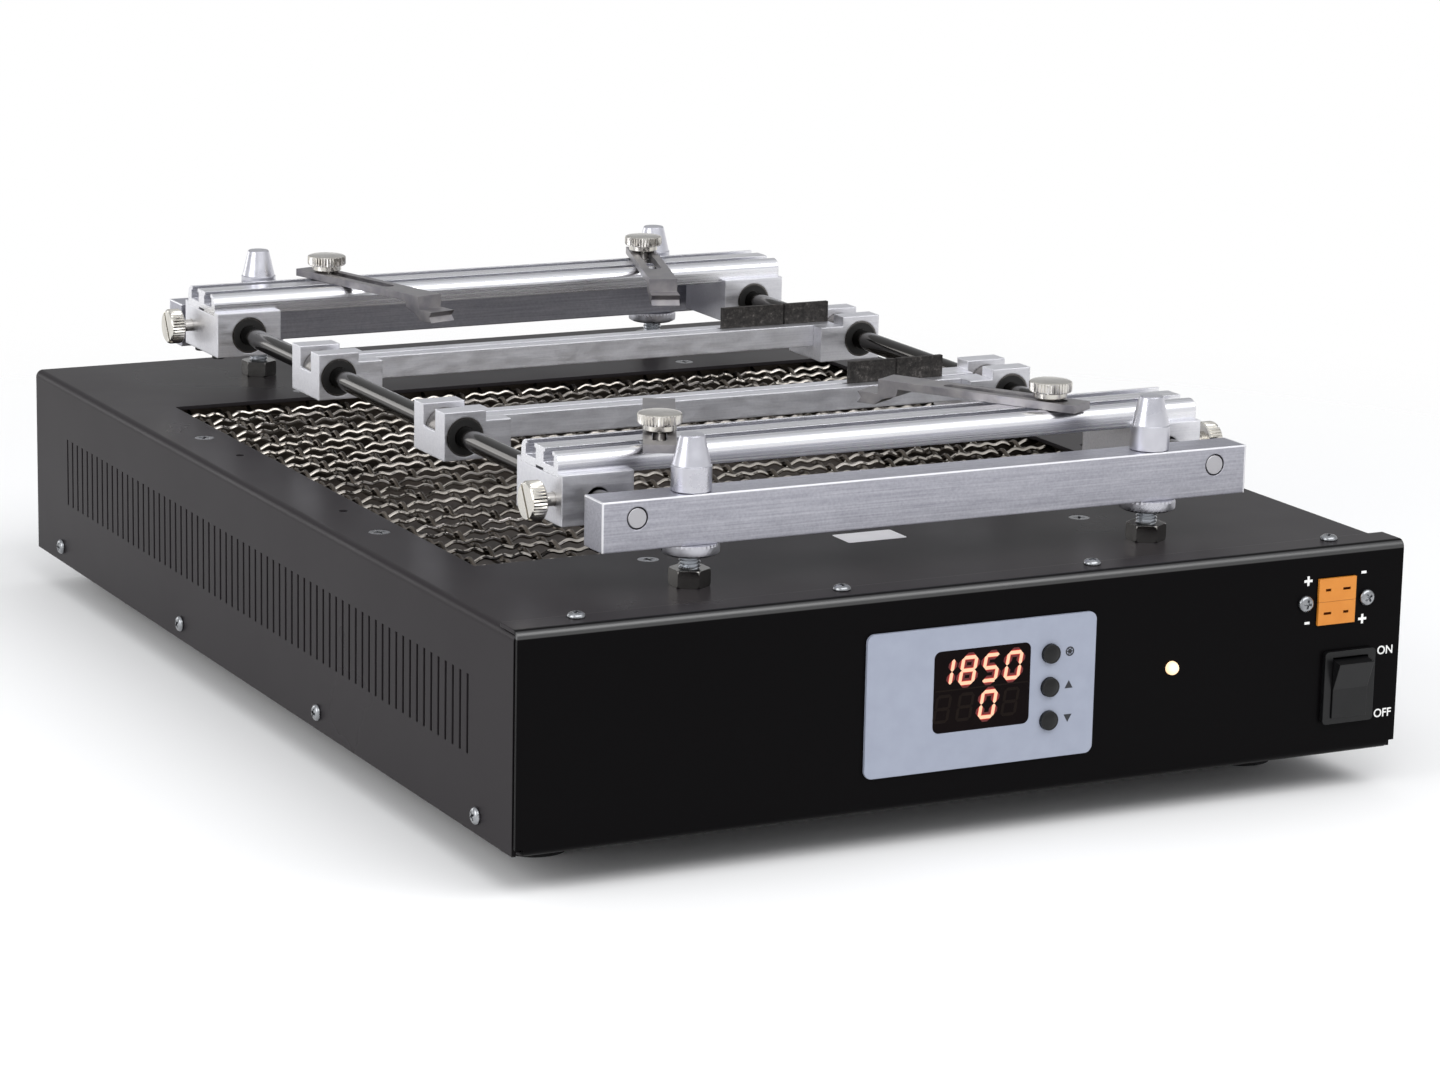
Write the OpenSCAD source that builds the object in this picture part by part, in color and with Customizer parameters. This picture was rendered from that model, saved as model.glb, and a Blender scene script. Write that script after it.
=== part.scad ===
// Bench preheater for circuit boards: a sheet-steel heater housing under a woven-wire deck,
// with a board holder that slides on two round rods and stands on four threaded posts.
// Millimetres. +Z is up, +Y is to the rear, and the origin is on the bench under the housing's middle.

/* [Housing] */
// Width of the sheet-steel housing
housing_w = 360; // [330:1:400]
// Depth of the housing, front to rear
housing_d = 500; // [470:1:540]
// Height of the housing without its feet
housing_h = 78; // [76:1:100]
// Thickness of the sheet steel
sheet_t = 1.5; // [1:0.1:2]
// Outer radius of the sheet bends
bend_r = 3; // [2.4:0.1:5]
// Depth of the flanges that the sheets are screwed together by
flange_d = 22; // [16:1:30]
// Height of the rubber feet below the housing
foot_h = 15; // [10:0.5:20]
// Diameter of the rubber feet
foot_d = 28; // [24:1:40]
// Distance of the feet from the housing's sides
foot_inset_x = 32; // [28:1:60]
// Distance of the feet from the housing's front and rear
foot_inset_y = 55; // [40:1:100]

/* [Ventilation] */
// Number of slots in each side
vent_count = 68; // [40:1:72]
// Spacing of the slots
vent_pitch = 6.25; // [5:0.05:6.5]
// Width of one slot
vent_w = 1.6; // [1:0.1:2.5]
// Height of one slot
vent_h = 28.4; // [15:0.1:40]
// Height of the middle of the slots above the housing's bottom edge
vent_rise = 41; // [30:0.5:48]

/* [Screws] */
// Head diameter of the pan-head cover screws
pan_d = 6.4; // [5:0.1:8]
// Head height of the pan-head cover screws
pan_h = 2; // [1.2:0.1:3]
// Shank diameter of the cover screws
screw_d = 3.4; // [2.5:0.1:4]
// Spacing of the front panel's screws
front_screw_pitch = 102.3; // [90:0.1:110]
// Distance of the front panel's screws from the front
front_screw_inset = 10.5; // [7:0.1:14]
// Distance of the outer side screws from the front and the rear
side_screw_inset = 32; // [26:1:60]
// Distance of the inner side screws from the housing's middle
side_screw_near = 72.7; // [50:0.1:90]
// Height of the side screws above the housing's bottom edge
side_screw_rise = 6.8; // [6:0.1:10]

/* [Heater] */
// Width of the deck beside the square heater opening
deck_side = 27.5; // [24:0.1:50]
// Spacing of the mesh wires
mesh_pitch = 13.2; // [10:0.1:16]
// Thickness of the mesh wires
wire_d = 1.9; // [1.2:0.1:2.4]
// Width of the ledge that the mesh lies on
ledge_w = 6; // [4:0.5:8]
// Width of the reflector's screw flange
pan_flange = 16; // [12:0.5:18]
// Depth of the reflector pan below the deck
pan_depth = 54; // [40:1:60]
// Number of ceramic heater plates
heater_count = 5; // [3:1:6]
// Distance of the heater plates from the opening's edge
heater_inset = 10.5; // [6:0.5:20]
// Gap between two heater plates
heater_gap = 2; // [1:0.5:8]
// Thickness of a heater plate at its crown
heater_t = 12; // [8:0.5:16]
// Height of the rails that carry the heater plates
rail_h = 10; // [6:0.5:14]
// Distance of the flush deck screws from the opening's edge along the sides
flush_side = 10.5; // [8:0.1:12]
// Distance of the flush deck screws from the opening's edge at front and rear
flush_end = 14; // [11:0.1:15]
// Head diameter of the flush deck screws
flush_head_d = 8; // [6:0.1:8.4]
// Spacing of each pair of small holes in the deck's sides
rivet_pitch = 107; // [80:1:140]
// Spacing of each pair of flush deck screws
flush_pitch = 181; // [150:1:220]

/* [Front panel] */
// Width of the controller's fascia
fascia_w = 93.3; // [80:0.1:110]
// Height of the fascia
fascia_h = 52.3; // [48:0.1:60]
// Thickness of the fascia
fascia_t = 1.2; // [0.8:0.1:2]
// Height of the fascia's middle above the housing's bottom edge
fascia_rise = 39.2; // [35:0.1:44]
// Width of the display window
window_w = 39.2; // [30:0.1:44]
// Corner radius of the display window
window_r = 2.5; // [1:0.1:4]
// Height of the display window
window_h = 29.7; // [20:0.1:34]
// Height of the display window's middle above the housing's bottom edge
window_rise = 41.7; // [38:0.1:44]
// Diameter of the push buttons
button_d = 7; // [5:0.1:8]
// Spacing of the push buttons
button_pitch = 12.3; // [10:0.1:14]
// Distance of the buttons to the right of the fascia's middle
button_x = 27.8; // [26:0.1:32]
// Height of the middle button above the housing's bottom edge
button_rise = 39.3; // [36:0.1:42]
// How far a button is pressed
button_travel = 0.8; // [0.4:0.1:1.2]
// Diameter of the status lamp
lamp_d = 5; // [3:0.1:6]
// Distance of the status lamp to the right of the middle
lamp_x = 80; // [65:0.5:110]
// Height of the status lamp above the housing's bottom edge
lamp_rise = 40.7; // [30:0.1:50]
// Width of a thermocouple socket
socket_w = 16.3; // [14:0.1:18]
// Height of one thermocouple socket
socket_h = 8.8; // [7:0.1:10]
// Distance of the sockets' middle from the housing's right side
socket_edge = 29.4; // [26:0.1:45]
// Height of the line between the two sockets above the housing's bottom edge
socket_rise = 59.2; // [56:0.1:62]
// Spacing of the two screws beside the sockets
socket_screw_pitch = 27; // [24:0.1:30]
// Width of the power switch's frame
switch_w = 22.2; // [20:0.1:26]
// Height of the power switch's frame
switch_h = 27.6; // [24:0.1:30]
// Distance of the power switch's middle from the housing's right side
switch_edge = 22.8; // [18:0.1:40]
// Height of the power switch's middle above the housing's bottom edge
switch_rise = 26.3; // [22:0.1:30]
// Swing of the rocker from on to off
rocker_swing = 20; // [12:1:24]

/* [Rear panel] */
// Distance of the power inlet's middle from the housing's right side
inlet_edge = 60; // [40:1:120]
// Height of the power inlet above the housing's bottom edge
inlet_rise = 38; // [25:1:50]
// Width of the inlet's body
inlet_body_w = 27; // [24:0.1:30]
// Height of the inlet's body
inlet_body_h = 19.4; // [18:0.1:22]
// Depth of the inlet's body behind the rear wall
inlet_deep = 22; // [16:0.5:30]
// Wall thickness of the inlet's body
inlet_wall = 1.7; // [1.2:0.1:2.5]
// Thickness of the inlet's flange
inlet_flange_t = 2.4; // [1.5:0.1:4]
// Distance of the inlet's screws from its middle
inlet_screw_x = 20; // [18:0.1:24]
// Spacing of the contact pins
pin_pitch = 7; // [6:0.1:8]
// Width of a contact pin
pin_w = 2; // [1.5:0.1:2.5]
// Height of a contact pin
pin_h = 4; // [3:0.1:5]

/* [Electronics] */
// Distance of the controller board from the front panel
board_gap = 10; // [7:0.5:14]
// Thickness of the controller board
board_t = 1.6; // [1:0.1:2.4]
// Width of the switches under the buttons
tact_w = 6; // [4.5:0.1:7]
// Diameter of the board's standoffs
standoff_d = 4.8; // [4:0.1:6]
// Width of the power relay
relay_w = 58; // [40:1:70]
// Depth of the power relay
relay_d = 44; // [30:1:50]
// Height of the power relay
relay_h = 24; // [16:0.5:28]
// Distance of the relay's middle from the front
relay_inset = 42; // [38:1:60]

/* [Holder posts] */
// Distance of the posts inwards of the guide rods
post_in = 24.2; // [20:0.1:36]
// Distance of the posts from the housing's front and rear
post_inset = 43; // [34:0.5:50]
// Diameter of the posts
post_d = 8; // [6:0.1:10]
// Height of the hex nuts that hold the posts
hex_h = 6.3; // [5:0.1:8]
// Width of the hex nuts across their flats
hex_af = 13; // [11:0.1:17]
// Diameter of the knurled levelling nuts
level_nut_d = 21; // [16:0.5:26]
// Height of the knurled levelling nuts
level_nut_h = 4.4; // [3:0.1:8]
// Diameter of the tapered clamp nuts
taper_nut_d = 14.6; // [12:0.1:18]
// Diameter of the tapered nuts at the tip
taper_tip_d = 9.6; // [8:0.1:12]
// Height of the tapered clamp nuts
taper_nut_h = 20; // [14:0.5:26]
// Height of the straight part of the tapered nuts
taper_base_h = 9.2; // [5:0.1:12]

/* [Holder frame] */
// Reach of the end bars past the middle of the guide rods
bar_end = 13.5; // [8:0.1:30]
// Depth of the end bars
bar_d = 14.5; // [12:0.1:20]
// Height of the end bars
bar_h = 18; // [14:0.5:24]
// Height of the end bars above the deck
bar_rise = 16; // [13:0.1:22]
// Diameter of the guide rods
rod_d = 8; // [6:0.1:8]
// Chamfer of the guide rods' ends
rod_chamfer = 0.6; // [0.3:0.1:1]
// Clearance around the rods in the blocks' outer holes
rod_clear = 0.6; // [0.3:0.1:1]
// Height of the rods' axis above the deck
rod_rise = 27.5; // [26.5:0.1:29]
// Outer diameter of the linear bearings
bearing_d = 15; // [13:0.1:15.4]
// Length of the linear bearings
bearing_l = 24; // [18:0.5:28]

/* [Clamp carriages] */
// Width of a clamp block
clamp_block_w = 28; // [24:0.1:30]
// Depth of a clamp block
clamp_block_d = 38; // [36:0.5:44]
// Height of all carriage blocks
block_h = 18.5; // [18.5:0.1:22]
// Height of the carriage blocks above the deck
block_rise = 18.7; // [17.5:0.1:19]
// Distance of the rear clamp carriage's middle from the rear posts
rear_clamp_back = 32.5; // [29:0.5:50]
// Distance of the front clamp carriage's middle from the front posts
front_clamp_back = 43.6; // [32:0.1:50]
// Length of the slotted profile
profile_l = 265; // [240:1:280]
// Depth of the slotted profile
profile_d = 31; // [29:0.1:33]
// Height of the slotted profile
profile_h = 8.55; // [8:0.05:12]
// Radius of the profile's rounded upper edges
profile_r = 4; // [2:0.1:4.4]
// How deep the profile sits in the blocks
profile_nest = 1.4; // [0.6:0.1:1.6]
// Distance of the two slots from the profile's middle
slot_y = 7.5; // [7.2:0.1:8.2]
// Width of a slot's mouth
slot_mouth = 6.2; // [5.8:0.1:7]
// Width of a slot below its mouth
slot_inner = 8.6; // [8:0.1:11]
// Thickness of the lips over a slot
slot_lip = 1.5; // [1:0.1:2]
// Height of a slot below its lips
slot_deep = 3.9; // [3:0.1:4.5]
// Diameter of the lock screws' heads
lock_head_d = 14.6; // [12:0.1:18]
// Height of the lock screws' heads
lock_head_h = 6; // [4:0.1:8]
// Gap between a lock screw's head and its block
lock_gap = 5; // [3:0.1:8]
// Distance of a lock screw from its block's outer face
lock_inset = 7; // [5:0.1:8]
// Thread diameter of lock screws and clamp screws
thread_d = 5; // [4:0.1:5.2]

/* [Clamps] */
// Position of the rear left clamp along its profile
rear_left_x = -73; // [-90:1:-40]
// Position of the rear right clamp along its profile
rear_right_x = 77; // [40:1:90]
// Position of the front left clamp along its profile
front_left_x = -89; // [-95:1:-40]
// Position of the front right clamp along its profile
front_right_x = 73; // [40:1:90]
// Direction of the rear left finger
rear_left_turn = -75; // [-100:1:-70]
// Direction of the rear right finger
rear_right_turn = -109; // [-112:1:-80]
// Direction of the front left finger
front_left_turn = 64; // [60:1:100]
// Direction of the front right finger
front_right_turn = 121; // [80:1:122]
// Length of a finger's plate
finger_l = 84; // [70:1:90]
// Width of a finger
finger_w = 12; // [10:0.1:14]
// Thickness of a finger's plate
finger_t = 3; // [2:0.1:4]
// Distance of the screw from a finger's outer end
finger_reach = 13.6; // [10:0.1:20]
// Distance of the screw from the front left finger's outer end
finger_reach_back = 23; // [14:0.1:30]
// Length of a finger's slot
finger_slot_l = 52; // [30:1:56]
// Depth of a jaw's board ledge below the finger's top
jaw_drop = 5.5; // [4:0.1:6]
// Length of a jaw's board ledge
jaw_ledge = 9; // [6:0.1:12]
// Height of a jaw's lip
jaw_lip = 4.4; // [3:0.1:5]
// Diameter of a clamp screw's knurled head
knob_d = 16.2; // [14:0.1:18]
// Height of a clamp screw's knurled head
knob_h = 4.2; // [3:0.1:6]
// Diameter of a clamp screw's shoulder
shoulder_d = 12.4; // [10:0.1:13]
// Height of a clamp screw's shoulder
shoulder_h = 3.1; // [2:0.1:5]

/* [Board supports] */
// Width of a support block
support_block_w = 17; // [16.6:0.1:18]
// Depth of a support block
support_block_d = 28.5; // [26:0.1:34]
// Length of a support block's arm
arm_l = 10.3; // [8:0.1:14]
// Height of the arm's top below the block's top
arm_drop = 3.9; // [3:0.1:5]
// Width of the slot across a support block
notch_w = 11.3; // [8:0.1:13]
// Depth of the slot across a support block
notch_deep = 8.5; // [5:0.1:9]
// Distance of the rear support's front face behind the middle
rear_support_y = 57.3; // [50:0.1:65]
// Distance of the front support's front face before the middle
front_support_y = 67; // [60:0.1:75]
// Depth of a support bar
support_bar_d = 13.8; // [10:0.1:16]
// Height of a support bar
support_bar_h = 9; // [7:0.1:10]
// Width of the groove along a support bar
groove_w = 2.4; // [1.6:0.1:4]
// Depth of the groove along a support bar
groove_deep = 3; // [2:0.1:4]
// Height of a rest plate above its bar
rest_h = 8.6; // [5:0.1:10]
// Length of the long rest plate
rest_long = 28.5; // [20:0.1:30]
// Length of a short rest plate
rest_short = 20.5; // [14:0.1:21]
// Distance of the rear rest plates' left end from the right guide rod
rear_rest_back = 58.8; // [58:0.1:90]
// Distance of the front rest plates' left end from the right guide rod
front_rest_back = 66.2; // [58:0.1:90]

/* [Fits] */
// Radial running clearance of rods, threads and pins
run_fit = 0.05; // [0.02:0.01:0.1]
// Clearance between faces that slide or nearly touch
face_gap = 0.1; // [0.05:0.01:0.2]
// Clearance of a sliding piece in its slot
slot_gap = 0.2; // [0.1:0.05:0.3]

/* [Hidden] */
$fn = 48;
half_w = housing_w / 2;
half_d = housing_d / 2;
floor_z = foot_h;
deck_z = floor_z + housing_h;
deck_under = deck_z - sheet_t;
inner_w = half_w - sheet_t;
front_back = -half_d + sheet_t;
bend_inner = bend_r - sheet_t;
fold_z = deck_z + sheet_t;
front_lap = front_screw_inset + pan_d / 2 + 0.5;
side_screw_far = half_d - side_screw_inset;
socket_x = half_w - socket_edge;
switch_x = half_w - switch_edge;
inlet_x = half_w - inlet_edge;
rod_x = (profile_l - clamp_block_w) / 2;
bar_l = 2 * (rod_x + bar_end);
post_x = rod_x - post_in;
rear_rest_x = rod_x - rear_rest_back;
front_rest_x = rod_x - front_rest_back;
post_y = half_d - post_inset;
rear_clamp_y = post_y - rear_clamp_back;
front_clamp_y = post_y - front_clamp_back;

// heater stack, from the deck down
opening_w = housing_w - 2 * deck_side;
half_open = opening_w / 2;
mesh_half = half_open + ledge_w - 2;
layer_step = wire_d + face_gap;
wire_top_z = deck_under - face_gap - wire_d / 2;
wire_low_z = wire_top_z - layer_step;
ledge_z = wire_low_z - wire_d / 2 - face_gap;
pan_wall = half_open + ledge_w;
pan_floor = deck_under - pan_depth;
rail_top = pan_floor + sheet_t + rail_h;
heater_l = opening_w - 2 * heater_inset;
heater_step = (heater_l + heater_gap) / heater_count;
heater_w = heater_step - heater_gap;
pan_rim = min(pan_wall + pan_flange, inner_w - 2 * sheet_t);
wires = floor((half_open - wire_d) / mesh_pitch);

// holder heights
bar_z = deck_z + bar_rise;
bar_top = bar_z + bar_h;
rod_z = deck_z + rod_rise;
block_z = deck_z + block_rise;
block_top = block_z + block_h;
profile_z = block_top - profile_nest;
profile_top = profile_z + profile_h;
slot_floor = profile_top - slot_lip - slot_deep;
finger_z = profile_top + face_gap;
knob_z = finger_z + finger_t + face_gap;
nut_top_z = slot_floor + slot_deep - face_gap;
arm_top = block_top - arm_drop;
support_bar_z = arm_top - support_bar_h;
stud_low = deck_z - sheet_t - hex_h - 3;
stud_top = bar_top + taper_nut_h * 0.6;
bearing_hole_r = bearing_d / 2 + run_fit;
rod_hole_r = rod_d / 2 + run_fit;
thread_hole_r = thread_d / 2 + run_fit;
post_hole_r = post_d / 2 + run_fit;
support_inner = rod_x - support_block_w / 2;

// controller, from the panel's face inwards
button_flange = 1;
board_y = front_back + board_gap;
cutout_half = button_pitch + button_d / 2 + 2 + abs(window_rise - button_rise);
tact_front = -half_d + face_gap + button_flange + button_travel + face_gap;

// colours of the finishes
black_paint = "#232223";
aluminium = "#b9b9c4";
steel = "#8c8a88";
nickel = "#b0aca2";
dark_steel = "#4a4745";

// box given by its middle on X and Y, its bottom and its size
module block(x, y, z, w, d, h) {
    translate([x - w / 2, y - d / 2, z]) cube([w, d, h]);
}

// square ring on the Z axis
module square_ring(outer, inner, z, h) {
    difference() {
        block(0, 0, z, 2 * outer, 2 * outer, h);
        block(0, 0, z - 1, 2 * inner, 2 * inner, h + 2);
    }
}

module rod_along_x(x, y, z, r, l) {
    translate([x, y, z]) rotate([0, 90, 0]) cylinder(h = l, r = r);
}

module rod_along_y(x, y, z, r, l) {
    translate([x, y, z]) rotate([-90, 0, 0]) cylinder(h = l, r = r);
}

// rectangle on the X axis with its two upper corners rounded
module arch(w, h, r) {
    translate([-w / 2, 0]) square([w, h - r]);
    translate([-w / 2 + r, 0]) square([w - 2 * r, h]);
    for (s = [-1, 1]) translate([s * (w / 2 - r), h - r]) circle(r);
}

// rectangle with four rounded corners, about the origin
module rounded_plate(w, h, r) {
    square([w, h - 2 * r], center = true);
    square([w - 2 * r, h], center = true);
    for (x = [-1, 1], y = [-1, 1]) translate([x * (w / 2 - r), y * (h / 2 - r)]) circle(r);
}

// slot outline with round ends, from s to s + l along X
module long_hole(s, l, w) {
    translate([s + w / 2, -w / 2]) square([l - w, w]);
    for (e = [s + w / 2, s + l - w / 2]) translate([e, 0]) circle(w / 2);
}

// plate standing on the front panel: its back at y, its middle at x and z
module front_plate(x, y, z, w, h, t, r) {
    translate([x, y, z]) rotate([90, 0, 0]) linear_extrude(t) rounded_plate(w, h, r);
}

// places of the four feet, the posts and the flush deck screws
module at_feet() {
    for (x = [-1, 1], y = [-1, 1]) translate([x * (half_w - foot_inset_x), y * (half_d - foot_inset_y), 0])
        children();
}

module at_posts() {
    for (x = [-1, 1], y = [-1, 1]) translate([x * post_x, y * post_y, 0]) children();
}

module at_flush_screws() {
    for (a = [-1, 1], s = [-1, 1]) {
        translate([s * (half_open + flush_side), a * flush_pitch / 2, 0]) children();
        translate([a * flush_pitch / 2, s * (half_open + flush_end), 0]) children();
    }
}

// places of the sheet screws: each child points its head along +Z
module at_side_screws() {
    for (s = [-1, 1], y = [side_screw_far, side_screw_near, -side_screw_near, -side_screw_far])
        translate([s * half_w, y, floor_z + side_screw_rise]) rotate([0, s * 90, 0]) children();
}

module at_front_screws() {
    for (i = [-1.5:1:1.5]) {
        translate([i * front_screw_pitch, -half_d + front_screw_inset, fold_z]) children();
        translate([i * front_screw_pitch, -half_d + front_screw_inset, floor_z])
            rotate([180, 0, 0]) children();
    }
}

module at_rear_screws() {
    for (i = [-1.5:1:1.5])
        translate([i * front_screw_pitch, half_d, deck_z - front_screw_inset]) rotate([-90, 0, 0]) children();
}

module at_socket_screws() {
    for (s = [-1, 1])
        translate([socket_x + s * socket_screw_pitch / 2, -half_d, floor_z + socket_rise])
            rotate([90, 0, 0]) children();
}

module screw_hole() {
    translate([0, 0, -6 * sheet_t]) cylinder(h = 7 * sheet_t, d = screw_d + 2 * run_fit);
}

module pan_screw() {
    rotate_extrude() {
        translate([0, -4 * sheet_t]) square([screw_d / 2, 4 * sheet_t]);
        square([pan_d / 2 - pan_h / 2, pan_h]);
        square([pan_d / 2, pan_h / 2]);
        intersection() {
            translate([pan_d / 2 - pan_h / 2, pan_h / 2]) circle(pan_h / 2);
            square([pan_d, pan_h]);
        }
    }
}

module base_tray() {
    z = floor_z + sheet_t;
    flange_h = flange_d - 4;
    front = front_back + bend_inner;
    wall_w = inner_w - bend_inner;
    color(black_paint) difference() {
        union() {
            translate([-inner_w, front, z]) cube([2 * inner_w, half_d - front, sheet_t]);
            for (s = [-1, 1])
                block(s * (inner_w - sheet_t / 2), (half_d + front) / 2, z,
                    sheet_t, half_d - front, flange_h);
            translate([-wall_w, half_d - sheet_t, z]) cube([2 * wall_w, sheet_t, deck_under - z]);
        }
        at_side_screws() screw_hole();
        at_front_screws() screw_hole();
        at_rear_screws() screw_hole();
        at_feet() translate([0, 0, z - 1]) cylinder(h = sheet_t + 2, d = foot_d / 5 + 2 * run_fit);
        block(inlet_x, half_d, floor_z + inlet_rise - inlet_body_h / 2 - face_gap,
            inlet_body_w + 2 * face_gap, 4 * sheet_t, inlet_body_h + 2 * face_gap);
        for (s = [-1, 1]) rod_along_y(inlet_x + s * inlet_screw_x, half_d - 3 * sheet_t,
            floor_z + inlet_rise, screw_d / 2 + run_fit, 6 * sheet_t);
    }
}

// block with its upper front edge rounded
module round_edge(w, d, h, r) {
    rotate([90, 0, 90]) linear_extrude(w, center = true) {
        translate([r, 0]) square([d - r, h]);
        square([r, h - r]);
        translate([r, h - r]) circle(r);
    }
}

// upright sheet, bent over at its top into a flange of depth d
module bent_sheet(w, d, h) {
    difference() {
        round_edge(w, d, h, bend_r);
        translate([0, sheet_t, -sheet_t]) round_edge(w + 2, d, h, bend_inner);
    }
}

// face that laps over the deck at its top and under the tray at its bottom
module front_panel() {
    inset_w = 2 * (inner_w - bend_inner);
    color(black_paint) difference() {
        union() {
            translate([0, -half_d, floor_z + bend_r])
                bent_sheet(housing_w, front_lap, fold_z - floor_z - bend_r);
            translate([0, -half_d, floor_z + 2 * bend_r]) mirror([0, 0, 1])
                bent_sheet(inset_w, flange_d, 2 * bend_r);
        }
        at_front_screws() screw_hole();
        at_socket_screws() screw_hole();
        front_plate((button_x + button_d - window_w / 2) / 2, -half_d + 2 * sheet_t, floor_z + window_rise,
            button_x + button_d + window_w / 2 + 2, 2 * cutout_half, 4 * sheet_t, 2);
        rod_along_y(lamp_x, -half_d - 1, floor_z + lamp_rise, lamp_d / 2 + run_fit, sheet_t + 2);
        block(socket_x, -half_d, floor_z + socket_rise - socket_h - face_gap,
            socket_w + 2 * face_gap, 4 * sheet_t, 2 * (socket_h + face_gap));
        block(switch_x, -half_d, floor_z + switch_rise - switch_h / 2 + 1 - face_gap,
            switch_w - 2 + 2 * face_gap, 4 * sheet_t, switch_h - 2 + 2 * face_gap);
    }
}

module top_cover() {
    d = housing_d - bend_r;
    color(black_paint) difference() {
        union() {
            translate([0, half_d, floor_z]) rotate([90, 0, 0]) difference() {
                linear_extrude(d) arch(housing_w, housing_h, bend_r);
                translate([0, -1, -1]) linear_extrude(d + 2)
                    arch(housing_w - 2 * sheet_t, housing_h - sheet_t + 1, bend_inner);
            }
            block(0, half_d - 1.5 * sheet_t, deck_under - flange_d, 2 * inner_w - 2 * flange_d, sheet_t,
                flange_d + sheet_t / 2);
        }
        block(0, 0, deck_under - 1, opening_w, opening_w, sheet_t + 2);
        for (s = [-1, 1], i = [0:vent_count - 1])
            block(s * half_w, (i - (vent_count - 1) / 2) * vent_pitch, floor_z + vent_rise - vent_h / 2,
                4 * sheet_t, vent_w, vent_h);
        at_side_screws() screw_hole();
        at_front_screws() screw_hole();
        at_rear_screws() screw_hole();
        at_posts() translate([0, 0, deck_under - 1]) cylinder(h = sheet_t + 2, r = post_hole_r);
        at_flush_screws() translate([0, 0, deck_z]) flush_shape(run_fit);
        for (x = [-1, 1], y = [-1, 1])
            translate([x * (half_open + flush_side - 1), y * rivet_pitch / 2, deck_under - 1])
                cylinder(h = sheet_t + 2, d = screw_d);
    }
}

// countersunk screw below its own top face, grown by a clearance
module flush_shape(c) {
    cone = (flush_head_d - screw_d) / 2;
    translate([0, 0, -sheet_t - 4]) cylinder(h = sheet_t + 5, d = screw_d + 2 * c);
    translate([0, 0, -cone])
        cylinder(h = cone + 0.2, d1 = screw_d + 2 * c, d2 = flush_head_d + 0.4 + 2 * c);
}

module flush_screws() {
    color(dark_steel) at_flush_screws() translate([0, 0, deck_z]) intersection() {
        flush_shape(0);
        translate([0, 0, -sheet_t - 4]) cylinder(h = sheet_t + 4, d = 2 * flush_head_d);
    }
}

module cover_screws() {
    color(nickel) {
        at_side_screws() pan_screw();
        at_front_screws() pan_screw();
        at_rear_screws() pan_screw();
        at_socket_screws() pan_screw();
    }
}

module rubber_feet() {
    color("#1b1a1a") at_feet() rotate_extrude() difference() {
        union() {
            square([foot_d / 2 - 2, foot_h + sheet_t]);
            polygon([[0, 0], [foot_d / 2 - 3, 0], [foot_d / 2, foot_h * 0.7], [foot_d / 2, foot_h + sheet_t],
                [0, foot_h + sheet_t]]);
            square([foot_d / 10, foot_h + 3 * sheet_t]);
        }
        square([foot_d / 10 + 2, foot_h / 2]);
    }
}

module heater_mesh() {
    color("#6a645c") for (i = [-wires:wires]) {
        p = i * mesh_pitch;
        rod_along_x(-mesh_half, p, wire_top_z, wire_d / 2, 2 * mesh_half);
        rod_along_y(p, -mesh_half, wire_low_z, wire_d / 2, 2 * mesh_half);
    }
}

module reflector_pan() {
    color("#57514d") difference() {
        union() {
            square_ring(pan_rim, pan_wall, deck_under - sheet_t, sheet_t);
            square_ring(pan_wall + sheet_t, pan_wall, ledge_z - sheet_t, deck_under - ledge_z + sheet_t);
            square_ring(pan_wall + sheet_t, half_open - 2, ledge_z - sheet_t, sheet_t);
            square_ring(half_open - 2, half_open - 2 - sheet_t, pan_floor, ledge_z - pan_floor);
            block(0, 0, pan_floor, opening_w - 4, opening_w - 4, sheet_t);
        }
        at_flush_screws() translate([0, 0, deck_z]) flush_shape(run_fit);
    }
}

module heater_rails() {
    z = pan_floor + sheet_t;
    color(steel) for (s = [-1, 1]) difference() {
        block(0, s * heater_l / 3, z, heater_l, 16, rail_h);
        block(0, s * heater_l / 3, z + sheet_t, heater_l + 2, 16 - 2 * sheet_t, rail_h - 2 * sheet_t);
    }
}

module ceramic_heaters() {
    crown_r = heater_w * heater_w / 8 + 0.5;
    color("#5d534b") for (i = [0:heater_count - 1])
        translate([(i - (heater_count - 1) / 2) * heater_step, 0, rail_top]) difference() {
            intersection() {
                block(0, 0, 0, heater_w, heater_l, heater_t);
                translate([0, -heater_l / 2 - 1, heater_t - crown_r]) rotate([-90, 0, 0])
                    cylinder(h = heater_l + 2, r = crown_r, $fn = 720);
            }
            for (y = [-2:2])
                block(0, y * heater_l / 5, -1, heater_w - 12, heater_l / 5 - 8, heater_t / 3 + 1);
        }
}

module control_board() {
    z = floor_z + fascia_rise;
    root = board_y + board_t / 2;
    color("#2f5a3a") {
        block(0, root, z - fascia_h / 2, fascia_w, board_t, fascia_h);
        block(0, (root + front_back) / 2, floor_z + window_rise - window_h / 2 + 1,
            window_w - 2, root - front_back, window_h - 2);
        for (i = [-1:1]) block(button_x, (root + tact_front) / 2,
            floor_z + button_rise + i * button_pitch - tact_w / 2, tact_w, root - tact_front, tact_w);
        for (x = [-1, 1], y = [-1, 1]) rod_along_y(x * (fascia_w / 2 - standoff_d), front_back,
            z + y * (fascia_h / 2 - standoff_d * 0.8), standoff_d / 2, root - front_back);
    }
}

module power_relay() {
    color("#c9c4b6") difference() {
        block(-half_w / 2, -half_d + relay_inset, floor_z + 2 * sheet_t, relay_w, relay_d, relay_h);
        for (s = [-1, 1]) translate([-half_w / 2 + s * relay_w * 0.41, -half_d + relay_inset, 0])
            cylinder(h = deck_z, d = screw_d + 1);
    }
}

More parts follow.
